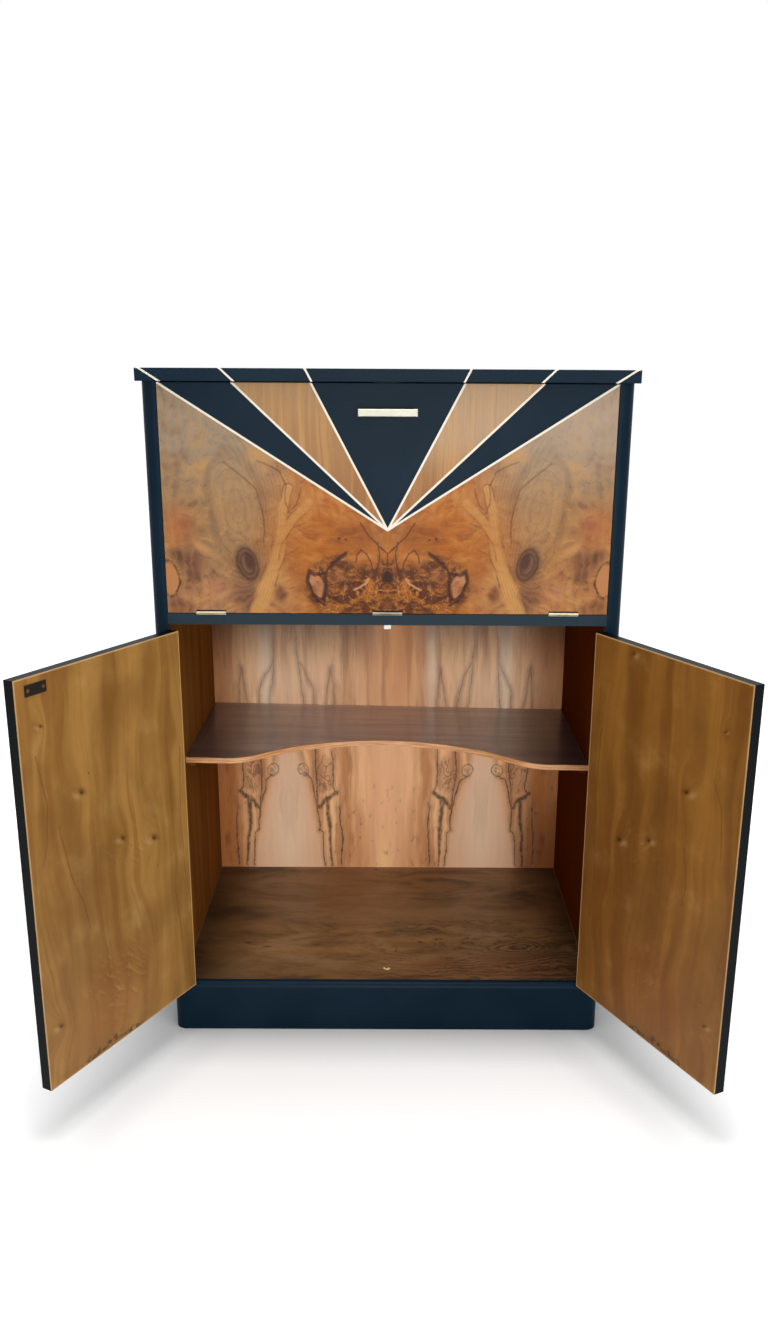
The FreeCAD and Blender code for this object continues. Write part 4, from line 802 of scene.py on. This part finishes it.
def floor_walnut(settings):
    """Level grain, paler in the middle as painted light and darker towards its ends as painted shade, with a
    knot at the right and wandering lines round it.
    """
    finish, pores, relief = walnut("floor_walnut", settings.floor, 0.4, 0.22, 0.18)
    lay = finish.lay
    across, along = finish.y, finish.x
    face = finish.face(along, across)
    ink = [part * 0.3 for part in settings.floor]
    pale = (0.64, 0.49, 0.34)
    cloud = face.noise(170, 70, 11, 5, 0.6, 0.4)
    lay(0.65, settings.floor)
    lay(cloud.step(0.46, 0.62) * 0.6, pale)
    lay(cloud.step(0.48, 0.34) * 0.75, ink)
    # painted light in the middle, and painted shade towards both ends and at the front right
    lay(face.bell((10, 40), (230, 110)) * 0.35, pale)
    edges = abs(along - 10).step(220, 385).most(along.step(60, 330) * across.step(40, -180))
    lay(edges * 0.78, ink)
    lay(across.step(-90, -235) * 0.5, ink)
    lay(face.bell((180, -190), (150, 60)) * 0.55, (0.4, 0.22, 0.12))

    hill = face.bell((256, -122), (56, 30))
    second = face.bell((100, -150), (130, 50))
    third = face.bell((-150, -60), (120, 60))
    sway = face.noise(70, 40, 14, 5, 0.6) - 0.5
    field = across / 19 + hill * 5 + second * 3 + third * 1.8 + sway * 5
    crest = abs(field.saw() - 0.5) * 2
    where = face.noise(120, 60, 16, 2).step(0.34, 0.54) * across.step(40, -60)
    where = where * (along.step(-60, 60) * 0.7 + 0.3)
    lay(crest.step(0.34, 0) * (where * 0.8).most(hill * 0.9), (0.15, 0.08, 0.05))
    lay(crest.step(0.45, 0.95) * hill.most(where * 0.3) * 0.5, pale)
    knot = face.spot((256, -122), (15, 9))
    lay(knot.near(0.8, 0.35) * 0.8, ink)
    lay(knot.step(0.5, 0.2) * 0.8, ink)
    for place, size in (((65, -98), (5, 4)), ((-272, -104), (8, 4)), ((-233, -120), (10, 3)),
                        ((-27, 236), (4, 4))):
        lay(face.spot(place, size).step(1.3, 0.5) * 0.7, ink)
    rail = (375 - abs(along)).least(FLOOR_FRONT - across)
    lay(rail.step(3.2, 2) * 0.4, (0.56, 0.42, 0.3))
    lay(face.bell((0, FRONT + HOLE_SETBACK), (14, 9)) * 0.6, (0.46, 0.3, 0.18))
    finish.shade(1 - pores * 0.2)
    return finish.done(relief, OPEN_PORED)


def lip_wood(settings):
    """Light strip on the shelf's front edge."""
    finish = Finish("shelf_lip", [part * 0.75 for part in settings.lip], 0.35, Coat_Weight=0.2,
                    Coat_Roughness=0.2)
    fibre = finish.face(finish.x, finish.z).noise(40, 2, 2, 3)
    finish.lay(fibre.step(0.35, 0.7), settings.lip)
    return finish.done(fibre, LACQUERED)


def bare_wood():
    """Unpolished softwood of the hidden boards."""
    finish = Finish("bare_softwood", (0.47, 0.35, 0.22), 0.8)
    fibre = finish.face(finish.x + finish.y, finish.z).noise(90, 4, 2, 4, 0.6)
    finish.lay(fibre.step(0.3, 0.7), (0.66, 0.52, 0.35))
    return finish.done(fibre, SAWN)


# ---- metal and plastic
def metal(name, rgb, roughness):
    """Brushed metal; the middle flap hinge is darker, partly tarnish and partly painted shade."""
    finish = Finish(name, rgb, roughness, Metallic=1)
    face = finish.face(finish.x, finish.z + finish.y)
    brush = face.noise(30, 0.8, 3, 3, 0.6)
    smear = face.noise(12, 9, 6, 3)
    # the middle flap hinge is darker: partly tarnish, partly painted shade
    tarnish_and_shade = finish.face(finish.x, finish.z).bell((0, FLAP_AXIS), (40, 20))
    finish.shade(smear * 0.24 - tarnish_and_shade * 0.6 + 0.88)
    return finish.done(brush, SMOOTH, brush * 0.16 + (roughness - 0.08))


def plain(name, rgb, roughness):
    """Moulded plastic, or raw wood, with a fine speckle."""
    finish = Finish(name, rgb, roughness)
    speck = finish.face(finish.x + finish.y, finish.z).noise(2, 2, 3, 3)
    finish.shade(speck * 0.2 + 0.9)
    return finish.done(speck, OPEN_PORED)


# ---- small pieces
# least and most distance of a splinter from the hole's middle, and its thickness, in metres
FLAKE_PLACE = (0.0028, 0.006)
FLAKE_THICK = (0.0006, 0.0016)


def add_piece(name, mesh, material, body="carcass"):
    piece = bpy.data.objects.new(name, mesh)
    bpy.context.collection.objects.link(piece)
    mesh.materials.append(material)
    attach(piece, body)
    return piece


def splinters(settings, material):
    """Pale splinters standing at the edge of the worn hole in the floor."""
    chance = random.Random(settings.seed)
    mesh = bpy.data.meshes.new("floor_splinters")
    shape = bmesh.new()
    hole = Vector((0, FRONT + HOLE_SETBACK, FLOOR_TOP)) * MM
    for index in range(settings.flakes):
        turn = math.radians(200 + 150 * index / max(1, settings.flakes - 1))
        size = settings.flake * chance.uniform(0.55, 1)
        out = Vector((math.cos(turn), math.sin(turn), 0))
        side = Vector((-out.y, out.x, 0))
        foot = hole + out * chance.uniform(*FLAKE_PLACE)
        lift = Vector((0, 0, chance.uniform(*FLAKE_THICK)))
        corners = [foot - side * size * 0.3, foot + side * size * 0.35,
                   foot + out * size + side * size * 0.1, foot + out * size * 0.6 - side * size * 0.4]
        low = [shape.verts.new(corner) for corner in corners]
        high = [shape.verts.new(corner + lift) for corner in corners]
        shape.faces.new(low[::-1])
        shape.faces.new(high)
        for first in range(4):
            second = (first + 1) % 4
            shape.faces.new((low[first], low[second], high[second], high[first]))
    bmesh.ops.recalc_face_normals(shape, faces=shape.faces)
    shape.to_mesh(mesh)
    shape.free()
    piece = add_piece("floor_splinters", mesh, material)


# ---- stage
# each lamp's name, the setting that holds its power, its size, place and target, in metres
LAMPS = (
    ("key_light", "key", (2.2, 2.2), (1.9, -2.6, 2.5), (0, -0.2, 0.6)),
    ("fill_light", "fill", (2.4, 2.4), (-2.3, -2.4, 1.9), (0, -0.2, 0.6)),
    ("top_light", "top", (1.4, 1.4), (0, -0.5, 3), (0, -0.5, 0)),
    ("front_light", "front", (1.6, 1.2), (0.1, -3.4, 0.95), (0, 0, 0.55)),
)
# the camera's place in metres; yaw, pitch and roll in degrees; shift of its frame
CAMERA_EYE = (0.01048, -2.10164, 1.17696)
CAMERA_ANGLES = (0.1354, -16.601, 0.3038)
CAMERA_SHIFT = (-0.00882, 0.02536)
CONTACT_SHADOW = 0.13


def area_light(name, power, size, place, target):
    light = bpy.data.lights.new(name, "AREA")
    light.energy = power
    light.shape = "RECTANGLE"
    light.size, light.size_y = size
    lamp = bpy.data.objects.new(name, light)
    bpy.context.collection.objects.link(lamp)
    lamp.location = place
    lamp.rotation_euler = (Vector(target) - Vector(place)).to_track_quat("-Z", "Y").to_euler()


def seen_rays(tree):
    """1 for rays that show the background itself: camera, glossy and transmission rays."""
    path = tree.nodes.new("ShaderNodeLightPath")
    seen = path.outputs["Is Camera Ray"]
    for ray in ("Is Glossy Ray", "Is Transmission Ray"):
        either = tree.nodes.new("ShaderNodeMath")
        either.operation = "MAXIMUM"
        tree.links.new(seen, either.inputs[0])
        tree.links.new(path.outputs[ray], either.inputs[1])
        seen = either.outputs[0]
    return seen


def make_world(strength):
    """Even white light, brighter where the background itself is seen."""
    world = bpy.data.worlds.new("studio")
    bpy.context.scene.world = world
    world.use_nodes = True
    tree = world.node_tree
    background = tree.nodes["Background"]
    background.inputs["Color"].default_value = (1, 1, 1, 1)
    level = tree.nodes.new("ShaderNodeMapRange")
    level.inputs["To Min"].default_value = strength
    level.inputs["To Max"].default_value = 1
    tree.links.new(seen_rays(tree), level.inputs["Value"])
    tree.links.new(level.outputs[0], background.inputs["Strength"])


def make_floor(size):
    """Paper floor that fades to the background's white away from the cabinet."""
    mesh = bpy.data.meshes.new("stage_floor")
    half = size / 2
    mesh.from_pydata([(-half, -half, 0), (half, -half, 0), (half, half, 0), (-half, half, 0)], [],
                     [(0, 1, 2, 3)])
    floor = bpy.data.objects.new("stage_floor", mesh)
    bpy.context.collection.objects.link(floor)
    finish = Finish("pale_floor", (1, 1, 1), 1, 0, Emission_Color=(1, 1, 1, 1))
    openness = finish.node("AmbientOcclusion", Distance=CONTACT_SHADOW, output="AO")
    level = finish.face(finish.x, finish.y)
    beside = abs(finish.x).step(420, 680) * 0.45
    away = level.spot((0, -450), (1000, 1000)).step(1, 2.4)
    glow = (beside + away + 0.04).least(0.88) * Value(finish, seen_rays(finish.material.node_tree))
    finish.set(Emission_Strength=glow)
    paper = level.noise(900, 900, 3, 2) * 0.02 + 0.84
    # painted contact shadow: the floor's colour is darkened by ambient occlusion near the cabinet
    finish.shade(paper * (openness * 1.04 - 0.04))
    mesh.materials.append(finish.done())


def make_camera(focal):
    camera = bpy.data.cameras.new("camera")
    camera.sensor_width = 36
    camera.lens = focal
    camera.shift_x, camera.shift_y = CAMERA_SHIFT
    camera.clip_end = 100
    eye = bpy.data.objects.new("camera", camera)
    bpy.context.collection.objects.link(eye)
    yaw, pitch, roll = (math.radians(angle) for angle in CAMERA_ANGLES)
    ahead = Vector((math.sin(yaw) * math.cos(pitch), math.cos(yaw) * math.cos(pitch), math.sin(pitch)))
    level = Vector((math.cos(yaw), -math.sin(yaw), 0))
    above = level.cross(ahead)
    right = level * math.cos(roll) + above * math.sin(roll)
    up = above * math.cos(roll) - level * math.sin(roll)
    turn = Matrix((right, up, -ahead)).transposed().to_4x4()
    eye.matrix_world = Matrix.Translation(CAMERA_EYE) @ turn
    bpy.context.scene.camera = eye


# ---- operators
class CABINET_OT_paint(bpy.types.Operator):
    """Paint the case, the plinth, the doors' outsides and the flap's dark rays"""
    bl_idname = "cabinet.paint"
    bl_label = "Paint"

    def execute(self, context):
        paint = context.scene.cabinet.paint
        dress(navy_paint(paint, "navy_satin_paint", paint.navy), "side_panel_left", "side_panel_right",
              "stile_left", "stile_right", "top_board", "plinth_front", "flap_core", "flap_painted_rays")
        # lighter rail paint: a painted sheen along the rail
        dress(navy_paint(paint, "rail_paint", paint.rail), "divider_rail")
        for side in ("left", "right"):
            dress(navy_paint(paint, f"door_paint_{side}", paint.navy, side), f"door_{side}_core")
        return {"FINISHED"}


class CABINET_OT_flap(bpy.types.Operator):
    """Lay the burr, straight and light veneers of the flap's sunburst"""
    bl_idname = "cabinet.flap"
    bl_label = "Flap face"

    def execute(self, context):
        flap = context.scene.cabinet.flap
        dress(burr_veneer(flap), "flap_veneer_burr")
        dress(wedge_veneer(flap), "flap_veneer_straight")
        dress(inlay_wood(flap), "flap_inlay_lines", "top_inlay_lines")
        return {"FINISHED"}


class CABINET_OT_doors(bpy.types.Operator):
    """Lay the golden veneer on the doors' inner faces"""
    bl_idname = "cabinet.doors"
    bl_label = "Door veneers"

    def execute(self, context):
        door = context.scene.cabinet.door
        for side in ("left", "right"):
            dress(door_veneer(door, side), f"door_{side}_veneer")
        return {"FINISHED"}


class CABINET_OT_inside(bpy.types.Operator):
    """Finish the back, the linings, the floor, the shelf and the hidden boards"""
    bl_idname = "cabinet.inside"
    bl_label = "Inside"

    def execute(self, context):
        inside = context.scene.cabinet.inside
        dress(back_veneer(inside), "back_panel_lower", "back_panel_upper")
        dress(lining_walnut(inside), "side_lining_left", "side_lining_right", "shelf_battens")
        dress(board_walnut(inside), "divider_board", "top_back_rail", "flap_inner_veneer")
        dress(shelf_walnut(inside), "shelf_board")
        dress(floor_walnut(inside), "floor_board")
        dress(lip_wood(inside), "shelf_lipping")
        dress(bare_wood(), "plinth_back", "plinth_bearer", "plinth_blocks")
        return {"FINISHED"}


class CABINET_OT_metal(bpy.types.Operator):
    """Finish the handles, hinges, stays, catch and screws"""
    bl_idname = "cabinet.metal"
    bl_label = "Metal and plastic"

    def execute(self, context):
        fitting = context.scene.cabinet.fitting
        dress(metal("pale_brass", fitting.brass, 0.56), "flap_handle", "door_left_handle",
              "door_right_handle")
        dress(metal("hinge_brass", fitting.hinge, 0.46), "door_hinge_leaves_fixed", "door_left_hinge_leaves",
              "door_right_hinge_leaves", "flap_hinge_leaves_fixed", "flap_hinge_leaves_moving",
              "stay_rod_left", "stay_rod_right", "stay_swivel_left", "stay_swivel_right",
              "stay_wall_brackets", "stay_flap_brackets")
        dress(metal("screw_brass", (0.62, 0.48, 0.28), 0.4), "back_panel_screws", "shelf_batten_screws",
              "door_stop_screw", "door_hinge_screws_fixed", "flap_hinge_screws_fixed", "stay_wall_screws",
              "flap_screws", "door_left_screws", "door_right_screws")
        dress(metal("steel", (0.66, 0.66, 0.66), 0.3), "door_hinge_pins", "flap_hinge_pins",
              "flap_catch_plate")
        dress(plain("black_catch", (0.06, 0.055, 0.05), 0.38), "catch_plate")
        dress(plain("white_nylon", (0.93, 0.91, 0.86), 0.45), "door_stop")
        dress(plain("brown_plastic", (0.16, 0.1, 0.07), 0.5), "flap_catch_magnet")
        return {"FINISHED"}


class CABINET_OT_splinters(bpy.types.Operator):
    """Stand pale splinters round the worn hole in the cupboard's floor"""
    bl_idname = "cabinet.splinters"
    bl_label = "Worn hole"

    def execute(self, context):
        fitting = context.scene.cabinet.fitting
        splinters(fitting, plain("raw_splinter", (0.86, 0.78, 0.6), 0.8))
        return {"FINISHED"}


class CABINET_OT_stage(bpy.types.Operator):
    """Set up the pale floor, the soft lights and the camera"""
    bl_idname = "cabinet.stage"
    bl_label = "Stage"

    def execute(self, context):
        stage = context.scene.cabinet.stage
        make_camera(stage.focal)
        make_floor(stage.floor_size)
        make_world(stage.world)
        for name, power, size, place, target in LAMPS:
            area_light(name, getattr(stage, power), size, place, target)
        context.scene.view_settings.view_transform = "Standard"
        return {"FINISHED"}


OPERATORS = (CABINET_OT_paint, CABINET_OT_flap, CABINET_OT_doors, CABINET_OT_inside, CABINET_OT_metal,
             CABINET_OT_splinters, CABINET_OT_stage)


class CABINET_PT_panel(bpy.types.Panel):
    """Lists the cabinet's settings and the steps that make it"""
    bl_idname = "CABINET_PT_panel"
    bl_label = "Bar cabinet"
    bl_space_type = "VIEW_3D"
    bl_region_type = "UI"
    bl_category = "Cabinet"

    def draw(self, context):
        settings = context.scene.cabinet
        for operator in OPERATORS:
            self.layout.operator(operator.bl_idname)
        for group in (settings.paint, settings.flap, settings.door, settings.inside, settings.fitting,
                      settings.stage):
            box = self.layout.box()
            for key in group.bl_rna.properties.keys():
                if key not in {"rna_type", "name"}:
                    box.prop(group, key)


CLASSES = (PaintSettings, FlapSettings, DoorSettings, InsideSettings, FittingSettings, StageSettings,
           CabinetSettings, *OPERATORS, CABINET_PT_panel)


def register():
    for made in CLASSES:
        bpy.utils.register_class(made)
    bpy.types.Scene.cabinet = PointerProperty(type=CabinetSettings, name="Cabinet",
                                              description="Settings of the bar cabinet")


def unregister():
    del bpy.types.Scene.cabinet
    for made in reversed(CLASSES):
        bpy.utils.unregister_class(made)


def main():
    register()
    bpy.ops.cabinet.paint()
    bpy.ops.cabinet.flap()
    bpy.ops.cabinet.doors()
    bpy.ops.cabinet.inside()
    bpy.ops.cabinet.metal()
    bpy.ops.cabinet.splinters()
    bpy.ops.cabinet.stage()


if __name__ == "__main__":
    main()
